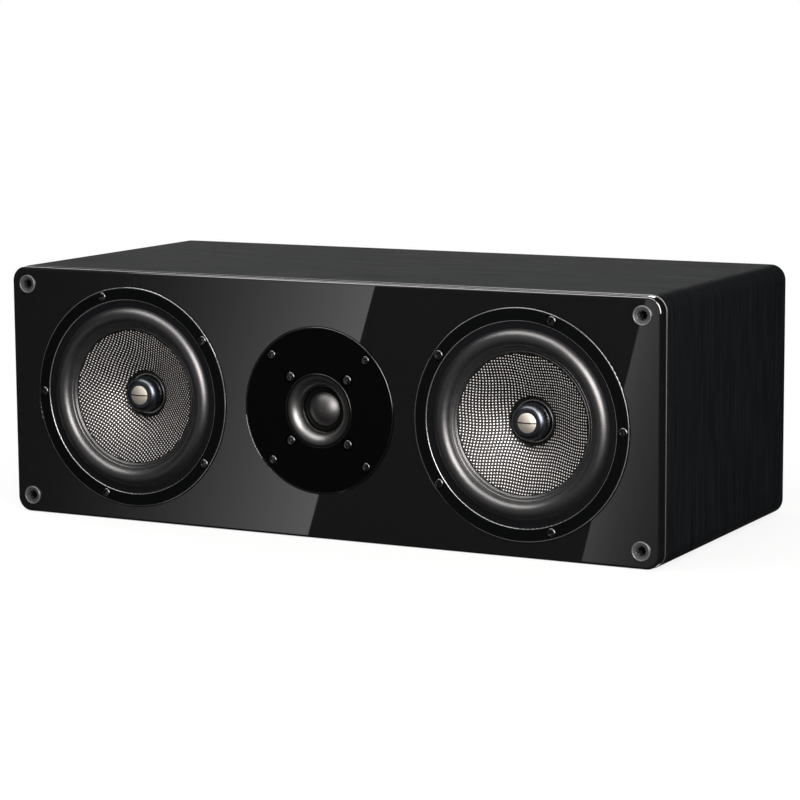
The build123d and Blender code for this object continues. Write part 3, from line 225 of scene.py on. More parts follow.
dress(plain_stuff("raw_fibreboard", (0.42, 0.31, 0.2), (0.34, 0.24, 0.15), 0.0015, 0.8), "left_brace", "right_brace")
dress(plain_stuff("open_foam", (0.09, 0.09, 0.1), (0.03, 0.03, 0.035), 0.002, 0.95), "damping_foam")
dress(plain_stuff("green_board", (0.05, 0.24, 0.11), (0.03, 0.16, 0.07), 0.004, 0.45), "crossover_board")
dress(plain_stuff("natural_nylon", (0.85, 0.84, 0.8), (0.78, 0.77, 0.72), 0.003, 0.5), "crossover_standoffs")
dress(plain_stuff("taped_film", (0.76, 0.7, 0.5), (0.68, 0.62, 0.42), 0.003, 0.4), "crossover_capacitors")
dress(plain_stuff("cement", (0.82, 0.8, 0.76), (0.7, 0.68, 0.64), 0.0008, 0.85), "crossover_resistor")
dress(
    plain_stuff("copper_wire", (0.72, 0.38, 0.22), (0.6, 0.28, 0.15), 0.001, 0.35, 0.9),
    "crossover_chokes",
    "left_voice_coil",
    "right_voice_coil",
    "tweeter_voice_coil",
)

# Rear panel: a board glued inside the sleeve, flush with its rear edge.
# It has a matt black foil with the same ash grain as the sleeve's, laid across.
rear_foil = finish("matt_black_foil", (0.012, 0.012, 0.013), 0.58, specular=0.3)
rear_grain = (GRAIN_ALONG, GRAIN_ALONG, GRAIN_ACROSS)
ash_grain(rear_foil, rear_grain, (0.009, 0.009, 0.0095), (0.019, 0.0195, 0.02), 0.64, 0.5)
dress(rear_foil, "rear_panel")

# Front baffle: a board that caps the sleeve, sprayed with black lacquer and polished to a mirror.
# The polish leaves a very slight swell in the surface, and a little haze from wiping.
lacquer = finish("polished_black_lacquer", (0.0022, 0.0022, 0.0023), 0.03, specular=1.0)
feed(lacquer, "Roughness", ranged(lacquer, stretched_noise(lacquer, (18, 18, 18)), 0.006, 0.02))
relief(lacquer, stretched_noise(lacquer, (60, 60, 60), detail=1.0), 0.006, 0.0001)
dress(lacquer, "front_baffle")

# Grille sockets: four satin black mouldings pressed into the baffle's corners for the grille's pegs.
# Each has a polished lip, a dished ring and a mouth between eight fingers; its colour is painted shade and highlight,
# black in the mouth and palest at the lip.
BAND_REACH = 100.0
face_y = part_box("front_baffle")[0].y
axis_z = sum(corner.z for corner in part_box("front_baffle")) / 2


def driver_axis(node):
    low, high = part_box(node)
    return (low.x + high.x) / 2


def radius_about(material, x, rise=0.0):
    """The distance, in metres, from the axes at plus or minus x and plus or minus rise."""
    axes = object_axes(material)
    above = add_node(material, "ShaderNodeMath", [(0, axes["Z"])], operation="SUBTRACT")
    above.inputs[1].default_value = axis_z
    side = add_node(material, "ShaderNodeMath", [(0, axes["X"])], operation="ABSOLUTE")
    level = add_node(material, "ShaderNodeMath", [(0, above.outputs[0])], operation="ABSOLUTE")
    flat = add_node(material, "ShaderNodeCombineXYZ", [("X", side.outputs[0]), ("Y", level.outputs[0])])
    gap = add_node(material, "ShaderNodeVectorMath", [(0, flat.outputs["Vector"])], operation="DISTANCE")
    gap.inputs[1].default_value = (x, rise, 0)
    return gap.outputs["Value"]


def banded(material, source, stops):
    """A value along the source, in straight steps between (source in mm, value) stops."""
    share = ranged(material, source, 0, 1, 0, BAND_REACH * MM)
    curve = add_node(material, "ShaderNodeFloatCurve", [("Value", share)])
    points = curve.mapping.curves[0].points
    points[0].location = (0, stops[0][1])
    points[1].location = (1, stops[-1][1])
    for place, value in stops:
        points.new(place / BAND_REACH, value)
    for point in points:
        point.handle_type = "VECTOR"
    curve.mapping.update()
    return curve.outputs["Value"]


SOCKET_X, SOCKET_RISE = 0.2747, 0.0885
SOCKET_PAINTED_LIGHT = [(3.1, 0.0), (3.3, 0.25), (4.1, 0.25), (4.4, 0.5), (6.1, 0.5), (6.5, 1.0)]
SOCKET_GLOSS = [(3.0, 0.02), (3.3, 1.0), (4.1, 1.0), (4.4, 0.4), (6.1, 0.4), (6.5, 1.0)]
socket_moulding = finish("socket_moulding", (0.03, 0.031, 0.032), 0.3)
socket_radius = radius_about(socket_moulding, SOCKET_X, SOCKET_RISE)
# Painted shade and highlight: black in the mouth, darker down the dish, palest at the lip.
socket_painted_light = banded(socket_moulding, socket_radius, SOCKET_PAINTED_LIGHT)
feed(socket_moulding, "Base Color", two_tone(socket_moulding, socket_painted_light, (0.0, 0.0, 0.0), (0.05, 0.052, 0.054)))
feed(socket_moulding, "Specular IOR Level", banded(socket_moulding, socket_radius, SOCKET_GLOSS))
relief(socket_moulding, stretched_noise(socket_moulding, (1800, 1800, 1800)), 0.05, 0.00003)
dress(socket_moulding, "grille_sockets")

# Woofer frames: aluminium castings with a smooth black coat, screwed to the baffle over a foam ring.
# The flange's face is matt and its two edges are cut bare; behind it hang the plate, ferrite and yoke.
woofer_x = driver_axis("right_woofer_basket")
frame_coat = finish("black_frame_coat", (0.0008, 0.0009, 0.0009), 0.4, specular=0.05)
flange_radius = radius_about(frame_coat, woofer_x)
BARE_EDGES = [(79.65, 1.0), (79.95, 0.0), (89.4, 0.0), (89.65, 1.0)]
bare_edge = banded(frame_coat, flange_radius, BARE_EDGES)
feed(frame_coat, "Base Color", two_tone(frame_coat, bare_edge, (0.0008, 0.001, 0.001), (0.24, 0.25, 0.25)))
feed(frame_coat, "Metallic", bare_edge)
feed(frame_coat, "Roughness", ranged(frame_coat, bare_edge, 0.42, 0.24, 0.0, 1.0))
relief(frame_coat, stretched_noise(frame_coat, (1500, 1500, 1500)), 0.02, 0.00002)
dress(frame_coat, "left_woofer_basket", "right_woofer_basket")
motor_steel = plain_stuff("zinc_plated_steel", (0.55, 0.56, 0.58), (0.45, 0.46, 0.48), 0.002, 0.35, 0.9)
ferrite = plain_stuff("ground_ferrite", (0.08, 0.08, 0.085), (0.05, 0.05, 0.055), 0.001, 0.6)
foam_strip = plain_stuff("foam_strip", (0.03, 0.03, 0.03), (0.018, 0.018, 0.018), 0.0008, 0.9)
tag_board = plain_stuff("tag_board", (0.3, 0.2, 0.1), (0.24, 0.15, 0.08), 0.001, 0.5)
dress(motor_steel, "left_top_plate", "right_top_plate", "left_yoke", "right_yoke")
dress(motor_steel, "tweeter_top_plate", "tweeter_yoke")
dress(ferrite, "left_magnet", "right_magnet", "tweeter_magnet")
dress(foam_strip, "woofer_gaskets", "tweeter_gasket")
dress(tag_board, "woofer_terminals", "tweeter_terminals")


# Surrounds: moulded rubber half rolls, glued to the frame outside and to the cone inside.
# They flex as the cone moves; here each is a still turned ring that does not follow the frame or the cone.
def arc(start, middle, end, steps):
    (ax, ay), (bx, by), (cx, cy) = start, middle, end
    d = 2 * (ax * (by - cy) + bx * (cy - ay) + cx * (ay - by))
    a2, b2, c2 = ax**2 + ay**2, bx**2 + by**2, cx**2 + cy**2
    ox = (a2 * (by - cy) + b2 * (cy - ay) + c2 * (ay - by)) / d
    oy = (a2 * (cx - bx) + b2 * (ax - cx) + c2 * (bx - ax)) / d
    radius = math.hypot(ax - ox, ay - oy)
    first, half, last = (math.atan2(y - oy, x - ox) for x, y in (start, middle, end))
    turn = (last - first) % (2 * math.pi)
    if (half - first) % (2 * math.pi) > turn:
        turn -= 2 * math.pi
    angles = [first + turn * i / steps for i in range(steps + 1)]
    return [(ox + radius * math.cos(a), oy + radius * math.sin(a)) for a in angles]


def turned(name, x, profile, segments, material, crease=35):
    """A ring turned about a driver's axis from a closed section of (radius, depth) points in mm."""
    section = np.array(profile) * MM
    angles = np.linspace(0, 2 * math.pi, segments, endpoint=False)
    points = np.empty((segments, len(section), 3))
    points[..., 0] = x + np.cos(angles)[:, None] * section[None, :, 0]
    points[..., 1] = face_y + section[None, :, 1]
    points[..., 2] = axis_z + np.sin(angles)[:, None] * section[None, :, 0]
    count = len(section)
    here = np.arange(segments)[:, None] * count + np.arange(count)[None, :]
    there = np.roll(here, -1, axis=0)
    faces = np.stack([here, np.roll(here, -1, axis=1), np.roll(there, -1, axis=1), there], axis=-1)
    return add_piece(name, points.reshape(-1, 3).tolist(), faces.reshape(-1, 4).tolist(), material, crease)


def flex(piece):
    """Bakes the piece's placement into its mesh; the piece does not bend with the cone."""
    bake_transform(piece)


ROLL_OUTER, ROLL_INNER, ROLL_CROWN = 73.5, 60.0, -4.5
ROLL_MIDDLE = (ROLL_OUTER + ROLL_INNER) / 2
ROLL_STEPS, SURROUND_SEGMENTS = 40, 240
LIP_FRONT, LIP_BACK, RUBBER_WALL = 0.3, 1.2, 0.9
LIP_OUTER, LIP_INNER = 79.0, 55.0
LIP_SLOPE = math.tan(math.radians(22))
LIP_DROP = (ROLL_INNER - LIP_INNER) * LIP_SLOPE
LIP_STEPS, LIP_TURN_IN, LIP_ROUND = 39, 0.3, 0.2
LIP_RIBS, RIB_HALF_WIDTH, RIB_RISE = (58.6, 56.2), 0.45, 0.28
RUBBER_GLOSS = [(58.0, 1.0), (60.0, 1.0), (73.0, 1.0), (74.0, 0.08)]
rubber = finish("satin_rubber", (0.0025, 0.0027, 0.0032), 0.5)
feed(rubber, "Specular IOR Level", banded(rubber, radius_about(rubber, woofer_x), RUBBER_GLOSS))
feed(rubber, "Roughness", ranged(rubber, stretched_noise(rubber, (250, 250, 250)), 0.35, 0.4))
relief(rubber, stretched_noise(rubber, (2500, 2500, 2500)), 0.06, 0.00004)


def ribbed_lip():
    points = []
    for step in range(1, LIP_STEPS + 1):
        radius = ROLL_INNER + (LIP_INNER + LIP_TURN_IN - ROLL_INNER) * step / LIP_STEPS
        ribs = sum(max(0.0, 1 - ((radius - rib) / RIB_HALF_WIDTH) ** 2) for rib in LIP_RIBS)
        points.append((radius, LIP_FRONT + (ROLL_INNER - radius) * LIP_SLOPE - RIB_RISE * ribs))
    return points


roll_back = arc(
    (ROLL_INNER + RUBBER_WALL, LIP_BACK),
    (ROLL_MIDDLE, ROLL_CROWN + RUBBER_WALL),
    (ROLL_OUTER - RUBBER_WALL, LIP_BACK),
    ROLL_STEPS // 2,
)
surround_section = [
    (LIP_OUTER, LIP_BACK),
    (LIP_OUTER, LIP_FRONT),
    *arc((ROLL_OUTER, LIP_FRONT), (ROLL_MIDDLE, ROLL_CROWN), (ROLL_INNER, LIP_FRONT), ROLL_STEPS),
    *ribbed_lip(),
    (LIP_INNER, LIP_FRONT + LIP_DROP + LIP_ROUND),
    (LIP_INNER, LIP_BACK + LIP_DROP),
    (ROLL_INNER, LIP_BACK),
    *roll_back,
]
for side in ("left", "right"):
    x = driver_axis(f"{side}_woofer_cone")
    surround = turned(f"{side}_rubber_surround", x, surround_section, SURROUND_SEGMENTS, rubber)
    flex(surround)
    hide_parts(f"{side}_woofer_surround")

# Spiders: corrugated cloth rings that centre the coils behind the cones, dipped in a brown resin.
# Each is glued to a ledge of the frame outside and to the coil former inside; it flexes with the cone, but here it is
# a still ring.
dipped_cloth = plain_stuff("dipped_cloth", (0.62, 0.5, 0.28), (0.5, 0.38, 0.2), 0.0006, 0.85)
SPIDER_OUTER, SPIDER_FIRST, SPIDER_INNER, SPIDER_COLLAR = 49.8, 43.4, 16.5, 2.0
SPIDER_FOOT, SPIDER_WAVES, SPIDER_HALF_WAVE, SPIDER_CLOTH = 40.6, 5, 0.8, 0.6
WAVE_STEPS, SPIDER_SEGMENTS = 8, 96
spider_pitch = (SPIDER_FIRST - SPIDER_INNER - SPIDER_COLLAR) / SPIDER_WAVES
spider_front = [(SPIDER_OUTER, SPIDER_FOOT)]
for step in range(SPIDER_WAVES * WAVE_STEPS + 1):
    wave = math.sin(2 * math.pi * step / WAVE_STEPS) * SPIDER_HALF_WAVE
    spider_front.append((SPIDER_FIRST - spider_pitch * step / WAVE_STEPS, SPIDER_FOOT - wave))
spider_front.append((SPIDER_INNER, SPIDER_FOOT))
spider_section = spider_front + [(radius, depth + SPIDER_CLOTH) for radius, depth in reversed(spider_front)]
for side in ("left", "right"):
    x = driver_axis(f"{side}_woofer_cone")
    spider = turned(f"{side}_spider_cloth", x, spider_section, SPIDER_SEGMENTS, dipped_cloth, crease=60)
    flex(spider)
    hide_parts(f"{side}_woofer_spider")

# Cones: a plain weave of silver grey fibre pressed to a flared cone and stiffened with black resin.
# The yarns stand up as small pillows, over and under by turns, with black resin and painted shade in the gaps between
# them.
YARN_PITCH, YARN_RISE = 2.3, 0.4
YARN_SWAY, SWAY_LENGTH, SWAY_SHIFT = 0.3, 41.0, 1.0
PILLOW_ACROSS, PILLOW_ALONG = 1.6, 0.7
CONE_EDGE, CONE_LIP, CONE_RIM, CONE_NECK = 59.5, 57.0, 55.0, 16.45
CONE_RIM_FRONT, CONE_NECK_FRONT, CONE_BULGE = 3.27, 24.8, 1.6
CONE_WALL, COLLAR_EDGE = 0.8, 18.9
RIM_FADE, COLLAR_FADE = 1.0, 0.6
CONE_RINGS, CONE_BACK_RINGS, CONE_SEGMENTS = 78, 12, 640
CONE_TURNS = {"left": 30, "right": 3}
cone_middle = ((CONE_RIM + CONE_NECK) / 2, (CONE_RIM_FRONT + CONE_NECK_FRONT) / 2 - CONE_BULGE)
cone_arc = np.array(arc((CONE_NECK, CONE_NECK_FRONT), cone_middle, (CONE_RIM, CONE_RIM_FRONT), 64))

woven_fibre = finish("woven_fibre", (0.4, 0.39, 0.38), 0.42, metallic=0.5)
yarn = add_node(woven_fibre, "ShaderNodeAttribute", attribute_name="yarn").outputs["Fac"]
# Partly painted shade: only the yarn crowns are pale; the low flanks and gaps go black, partly resin and partly
# shade.
yarn_crowns_and_gap_shade = ranged(woven_fibre, yarn, 0.0, 1.0, 0.6, 0.92)
feed(woven_fibre, "Base Color", two_tone(woven_fibre, yarn_crowns_and_gap_shade, (0.002, 0.002, 0.0022), (0.8, 0.782, 0.763)))
feed(woven_fibre, "Roughness", ranged(woven_fibre, yarn, 0.52, 0.44, 0.2, 0.8))
relief(woven_fibre, stretched_noise(woven_fibre, (3000, 3000, 3000)), 0.12, 0.00005)


def woven_cone(name, x, turn):
    """A cone with its weave raised on the front; the attribute yarn keeps the height for its colour, which darkens
    the low flanks and gaps as painted shade.
    """
    radii = np.concatenate([np.linspace(CONE_NECK, CONE_RIM, CONE_RINGS), [CONE_LIP, CONE_EDGE]])
    depths = np.interp(radii, cone_arc[:, 0], cone_arc[:, 1])
    depths[CONE_RINGS:] = CONE_RIM_FRONT - (radii[CONE_RINGS:] - CONE_RIM) * LIP_SLOPE
    angles = np.linspace(0, 2 * math.pi, CONE_SEGMENTS, endpoint=False)
    across = np.cos(angles)[:, None] * radii[None, :]
    upward = np.sin(angles)[:, None] * radii[None, :]
    warp = across * math.cos(turn) - upward * math.sin(turn)
    weft = across * math.sin(turn) + upward * math.cos(turn)
    column = warp / YARN_PITCH + YARN_SWAY * np.sin(2 * math.pi * weft / SWAY_LENGTH)
    row = weft / YARN_PITCH + YARN_SWAY * np.sin(2 * math.pi * warp / SWAY_LENGTH + SWAY_SHIFT)
    over = (np.round(column) + np.round(row)) % 2
    ridge_x = np.abs(np.cos(math.pi * (column - np.round(column))))
    ridge_z = np.abs(np.cos(math.pi * (row - np.round(row))))
    upright = ridge_x**PILLOW_ACROSS * ridge_z**PILLOW_ALONG
    level = ridge_x**PILLOW_ALONG * ridge_z**PILLOW_ACROSS
    fade = np.clip((CONE_RIM - radii) / RIM_FADE, 0, 1) * np.clip((radii - COLLAR_EDGE) / COLLAR_FADE, 0, 1)
    height = np.where(over > 0.5, upright, level) * fade[None, :]
    front = np.stack([across, depths[None, :] - height * YARN_RISE, upward], axis=-1)
    back_rings = np.linspace(0, len(radii) - 1, CONE_BACK_RINGS).round().astype(int)[::-1]
    back_across, back_upward = across[:, back_rings], upward[:, back_rings]
    back_depth = depths[None, back_rings] + CONE_WALL + 0 * back_across
    back = np.stack([back_across, back_depth, back_upward], axis=-1)
    points = np.concatenate([front, back], axis=1) * MM + np.array([x, face_y, axis_z])
    shade = np.concatenate([height, 0 * back_across], axis=1)
    count = points.shape[1]
    here = np.arange(CONE_SEGMENTS)[:, None] * count + np.arange(count)[None, :]
    there = np.roll(here, -1, axis=0)
    faces = np.stack([here, there, np.roll(there, -1, axis=1), np.roll(here, -1, axis=1)], axis=-1)
    piece = add_piece(name, points.reshape(-1, 3).tolist(), faces.reshape(-1, 4).tolist(), woven_fibre, crease=60)
    heights = piece.data.attributes.new("yarn", "FLOAT", "POINT")
    heights.data.foreach_set("value", shade.ravel().astype(np.float32))
    return piece


for side, turn in CONE_TURNS.items():
    cone = woven_cone(f"{side}_woven_cone", driver_axis(f"{side}_woofer_cone"), math.radians(turn))
    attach(cone, f"{side}_cone")
    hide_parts(f"{side}_woofer_cone")

# Coil formers: thin bare aluminium tubes in the necks of the cones, with a fine bright front edge.
# Each is glued to its cone and carries the voice coil in the magnetic gap.
former_tube = plain_stuff("former_tube", (0.75, 0.74, 0.72), (0.6, 0.59, 0.57), 0.001, 0.3, 1.0)
dress(former_tube, "left_voice_coil_former", "right_voice_coil_former")

# Phase plugs: turned from aluminium and anodised gunmetal, with the lathe's fine rings left in.
# A bright domed screw with a plain slot holds each to the pole; the dark band along the slot is painted shade.
LATHE_PITCH = 0.8
SLOT_SHADE_CORE, SLOT_SHADE_EDGE = 0.4, 0.55


def lathe_rings(material, pitch, smooth, rough):
    wave = add_node(material, "ShaderNodeMath", [(0, object_axes(material)["Y"])], operation="MULTIPLY")
    wave.inputs[1].default_value = 2 * math.pi / pitch
    rings = add_node(material, "ShaderNodeMath", [(0, wave.outputs[0])], operation="SINE")
    feed(material, "Roughness", ranged(material, rings.outputs[0], smooth, rough, -1, 1))


gunmetal = finish("gunmetal_anodising", (0.075, 0.083, 0.098), 0.3, metallic=1.0)
lathe_rings(gunmetal, LATHE_PITCH * MM, 0.27, 0.35)
dress(gunmetal, "left_phase_plug", "right_phase_plug")
bright_steel = finish("bright_turned_steel", (0.78, 0.73, 0.63), 0.5, metallic=1.0)
feed(bright_steel, "Roughness", ranged(bright_steel, stretched_noise(bright_steel, (900, 900, 900)), 0.44, 0.52))
# Painted shade: a dark band across each screw head along its slot.
above_slot = add_node(bright_steel, "ShaderNodeMath", [(0, object_axes(bright_steel)["Z"])], operation="SUBTRACT")
above_slot.inputs[1].default_value = axis_z
off_slot = add_node(bright_steel, "ShaderNodeMath", [(0, above_slot.outputs[0])], operation="ABSOLUTE")
slot_painted_shade = ranged(bright_steel, off_slot.outputs[0], 0.0, 1.0, SLOT_SHADE_CORE * MM, SLOT_SHADE_EDGE * MM)
feed(bright_steel, "Base Color", two_tone(bright_steel, slot_painted_shade, (0.03, 0.027, 0.023), (0.8, 0.75, 0.65)))
dress(bright_steel, "phase_plug_screws")

# Woofer and tweeter screws: pan heads of black oxide steel, each with a pressed cross recess.
# Five hold each frame, four hold the tweeter's plate to the baffle and four its motor to the plate.
SCREW_SEGMENTS, SCREW_TIP = 48, 0.02
FLAT_RINGS, BEND_RINGS = 17, 11
HEAD_FLAT, CROWN_DROP, SHOULDER_DROP = 0.66, 0.12, 0.5
ARM_HALF_WIDTH, ARM_REACH, RECESS_DEPTH = 0.17, 0.6, 0.5
ARM_WALL, ARM_END = 0.12, 0.4
FIRST_TURN, NEXT_TURN = 0.3, 0.9
FRAME_CIRCLE, PLATE_CIRCLE, MOTOR_CIRCLE = 85.0, 59.5, 36.1


def cross_screw(centre, turn, head, height, shank, length, facing):
    """Points of one screw, in mm from its centre on the face: head, flank and shank, ring by ring."""
    inner = np.linspace(SCREW_TIP, HEAD_FLAT, FLAT_RINGS) * head
    edge = np.linspace(HEAD_FLAT, 1.0, BEND_RINGS)[1:] * head
    radii = np.concatenate([inner, edge, [head, shank, shank, SCREW_TIP]])
    crown = CROWN_DROP * height * (inner / head) ** 2
    bend = (edge - inner[-1]) / (head - inner[-1] + 0.01)
    shoulder = crown[-1] + SHOULDER_DROP * height * (1 - np.sqrt(1 - bend**2))
    depths = np.concatenate([crown, shoulder, [height, height, length, length]])
    angles = np.linspace(0, 2 * math.pi, SCREW_SEGMENTS, endpoint=False)
    u, v = np.cos(angles)[:, None] * radii[None, :], np.sin(angles)[:, None] * radii[None, :]
    arm, reach = ARM_HALF_WIDTH * head, ARM_REACH * head
    bars = [
        np.clip((arm - np.abs(a)) / ARM_WALL, 0, 1) * np.clip((reach - np.abs(b)) / ARM_END, 0, 1)
        for a, b in ((u, v), (v, u))
    ]
    recess = np.maximum(*bars) * RECESS_DEPTH * height
    recess[:, len(inner) :] = 0
    depth = depths[None, :] + recess
    across = u * math.cos(turn) - v * math.sin(turn)
    upward = u * math.sin(turn) + v * math.cos(turn)
    return np.stack([centre[0] + across, facing * depth, centre[1] + upward], axis=-1)


def cross_screws(node, centres, head, height, shank, facing=1):
    """Crossed screws, as one piece, in the place of a node; facing is -1 where they face the rear."""
    low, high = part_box(node)
    length = (high.y - low.y) / MM
    points, faces, first = [], [], 0
    for index, centre in enumerate(centres):
        rings = cross_screw(centre, NEXT_TURN * index + FIRST_TURN, head, height, shank, length, facing)
        count = rings.shape[1]
        here = first + np.arange(SCREW_SEGMENTS)[:, None] * count + np.arange(count)[None, :]
        there = np.roll(here, -1, axis=0)
        quads = np.stack([here[:, :-1], here[:, 1:], there[:, 1:], there[:, :-1]], axis=-1).reshape(-1, 4)
        faces += (quads if facing > 0 else quads[:, ::-1]).tolist()
        faces += [here[:, 0].tolist()[::facing], here[:, -1].tolist()[::-facing]]
        points.append(rings.reshape(-1, 3))
        first += SCREW_SEGMENTS * count
    start = np.array([0, low.y if facing > 0 else high.y, axis_z])
    places = np.concatenate(points) * MM + start
    piece = add_piece(f"{node}_crossed", places.tolist(), faces, black_oxide, crease=40)
    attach(piece, "cabinet")
    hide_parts(node)


def on_circle(x, radius, count, start):
    angles = [math.radians(start + 360 * step / count) for step in range(count)]
    return [(x + radius * math.cos(angle), radius * math.sin(angle)) for angle in angles]


black_oxide = finish("black_oxide_steel", (0.0012, 0.0012, 0.0013), 0.2, specular=1.0)
feed(black_oxide, "Roughness", ranged(black_oxide, stretched_noise(black_oxide, (700, 700, 700)), 0.14, 0.2))
relief(black_oxide, stretched_noise(black_oxide, (2500, 2500, 2500)), 0.03, 0.00002)
woofer_centres = on_circle(woofer_x / MM, FRAME_CIRCLE, 5, 0) + on_circle(-woofer_x / MM, FRAME_CIRCLE, 5, 180)
cross_screws("woofer_screws", woofer_centres, head=4.1, height=3.0, shank=2.0)
cross_screws("tweeter_mounting_screws", on_circle(0, PLATE_CIRCLE, 4, 45), head=3.6, height=2.2, shank=1.7)
cross_screws("tweeter_assembly_screws", on_circle(0, MOTOR_CIRCLE, 4, 45), head=3.9, height=2.2, shank=1.5)

# Tweeter: a satin black moulded plate with a flare, a coated cloth dome and a closed chamber behind.
# The flare is waxed and ends in a polished bead, and a thin black ring seats the dome in the throat.
PLATE_GLOSS = [
    *((26.0, 0.85), (28.2, 0.05), (28.9, 0.05), (29.0, 1.0)),
    *((29.4, 1.0), (29.6, 0.03), (65.4, 0.03), (65.7, 1.0)),
]
PLATE_POLISH = [(27.6, 0.37), (28.9, 0.2), (29.4, 0.2), (29.6, 0.36), (65.4, 0.36), (65.7, 0.16)]
FLARE_WAX, WAX_ROUGHNESS, WAX_IOR = [(24.0, 1.0), (27.6, 0.0)], 0.36, 1.6
plate_moulding = finish("satin_black_plate", (0.0006, 0.0006, 0.0006), 0.27)
plate_radius = radius_about(plate_moulding, 0)
feed(plate_moulding, "Specular IOR Level", banded(plate_moulding, plate_radius, PLATE_GLOSS))
feed(plate_moulding, "Roughness", banded(plate_moulding, plate_radius, PLATE_POLISH))
feed(plate_moulding, "Coat Weight", banded(plate_moulding, plate_radius, FLARE_WAX))
plate_shader = plate_moulding.node_tree.nodes["Principled BSDF"]
plate_shader.inputs["Coat Roughness"].default_value = WAX_ROUGHNESS
plate_shader.inputs["Coat IOR"].default_value = WAX_IOR
relief(plate_moulding, stretched_noise(plate_moulding, (4000, 4000, 4000)), 0.008, 0.00002)
dress(plate_moulding, "tweeter_faceplate")

DOME_GLOSS = [(13.6, 1.0), (14.0, 0.02)]
dome_cloth = finish("coated_dome_cloth", (0.002, 0.002, 0.0019), 0.44)
feed(dome_cloth, "Specular IOR Level", banded(dome_cloth, radius_about(dome_cloth, 0), DOME_GLOSS))
cloth_grain = stretched_noise(dome_cloth, (1500, 1500, 1500), detail=2.0)
feed(dome_cloth, "Roughness", ranged(dome_cloth, cloth_grain, 0.4, 0.47))
relief(dome_cloth, cloth_grain, 0.15, 0.00008)
dress(dome_cloth, "tweeter_dome")

THROAT_RING, THROAT_DEPTH, THROAT_WIRE = 18.4, 8.15, 0.22
WIRE_SIDES, RING_SEGMENTS = 10, 120
wire_turns = [2 * math.pi * step / WIRE_SIDES for step in range(WIRE_SIDES)]
wire_section = [
    (THROAT_RING + THROAT_WIRE * math.cos(turn), THROAT_DEPTH - THROAT_WIRE * math.sin(turn)) for turn in wire_turns
]
throat_ring = turned("tweeter_throat_ring", 0, wire_section, RING_SEGMENTS, black_oxide, crease=80)
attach(throat_ring, "cabinet")
dress(plain_stuff("chamber_moulding", (0.03, 0.03, 0.03), (0.02, 0.02, 0.02), 0.001, 0.5), "tweeter_rear_chamber")

# Terminal cup: a textured black moulding over a cut-out in the rear panel, with the posts in its well.
# Four black screws with cross recesses hold its flange to the board.
cup_moulding = plain_stuff("textured_cup_moulding", (0.009, 0.009, 0.0095), (0.006, 0.006, 0.0065), 0.0005, 0.36)
dress(cup_moulding, "terminal_cup")
CUP_SCREW_X, CUP_SCREW_Z = 45.5, 33.5
cup_rise = sum(corner.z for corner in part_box("terminal_cup")) / 2 / MM - axis_z / MM
cup_centres = [(x, cup_rise + z) for x in (-CUP_SCREW_X, CUP_SCREW_X) for z in (-CUP_SCREW_Z, CUP_SCREW_Z)]
cross_screws("terminal_cup_screws", cup_centres, head=3.2, height=2.0, shank=1.7, facing=-1)

# Binding posts: gold plated brass studs on insulating collars, with fluted caps in red and black.
# A nut behind the cup holds each stud, and its cap, with a gold insert, turns out on the stud's thread.
gold_plate = plain_stuff("gold_plated_brass", (0.86, 0.62, 0.26), (0.8, 0.55, 0.2), 0.001, 0.22, 1.0)
dress(gold_plate, "red_post_stud", "black_post_stud", "red_post_insert", "black_post_insert", "post_nuts")
red_cap = plain_stuff("red_cap_plastic", (0.36, 0.012, 0.013), (0.29, 0.008, 0.009), 0.001, 0.28)
black_cap = plain_stuff("black_cap_plastic", (0.012, 0.012, 0.013), (0.008, 0.008, 0.009), 0.001, 0.28)
dress(red_cap, "red_post_cap")
dress(black_cap, "black_post_cap", "post_collars")

# Floor: a pale sheet that runs out to plain white, with the speaker's own soft shadow on it.
# The camera sees it glow white, and lamp light falls on it as on plain paper.
FLOOR_REACH = 60.0
FADE_START, FADE_END, NEAR_WHITE = 0.35, 0.95, 0.82


def seen_ray(owner):
    """1 for a ray from the camera, a gloss or a clear surface, and 0 for any other."""
    path = add_node(owner, "ShaderNodeLightPath")
    seen = path.outputs["Is Camera Ray"]
    for kind in ("Is Glossy Ray", "Is Transmission Ray"):
        seen = add_node(owner, "ShaderNodeMath", [(0, seen), (1, path.outputs[kind])], operation="MAXIMUM").outputs[0]
    return seen


pale_sheet = finish("pale_sheet", (0.5, 0.5, 0.5), 0.9, specular=0.0)
sheet_place = add_node(pale_sheet, "ShaderNodeTexCoord")
sheet_distance = add_node(
    pale_sheet, "ShaderNodeVectorMath", [("Vector", sheet_place.outputs["Object"])], operation="LENGTH"
)
sheet_white = ranged(pale_sheet, sheet_distance.outputs["Value"], NEAR_WHITE, 1.0, FADE_START, FADE_END)
glow_share = add_node(
    pale_sheet, "ShaderNodeMath", [(0, sheet_white), (1, seen_ray(pale_sheet))], operation="MULTIPLY"
)
white_glow = add_node(pale_sheet, "ShaderNodeEmission", Strength=1.0)
sheet_mix = add_node(
    pale_sheet,
    "ShaderNodeMixShader",
    [
        (0, glow_share.outputs[0]),
        (1, pale_sheet.node_tree.nodes["Principled BSDF"].outputs["BSDF"]),
        (2, white_glow.outputs["Emission"]),
    ],
)
sheet_output = pale_sheet.node_tree.nodes["Material Output"]
pale_sheet.node_tree.links.new(sheet_mix.outputs["Shader"], sheet_output.inputs["Surface"])
floor_corners = [(x * FLOOR_REACH, y * FLOOR_REACH, 0) for x, y in ((-1, -1), (1, -1), (1, 1), (-1, 1))]
floor = add_piece("floor", floor_corners, [(0, 1, 2, 3)], pale_sheet)
floor.visible_glossy = False


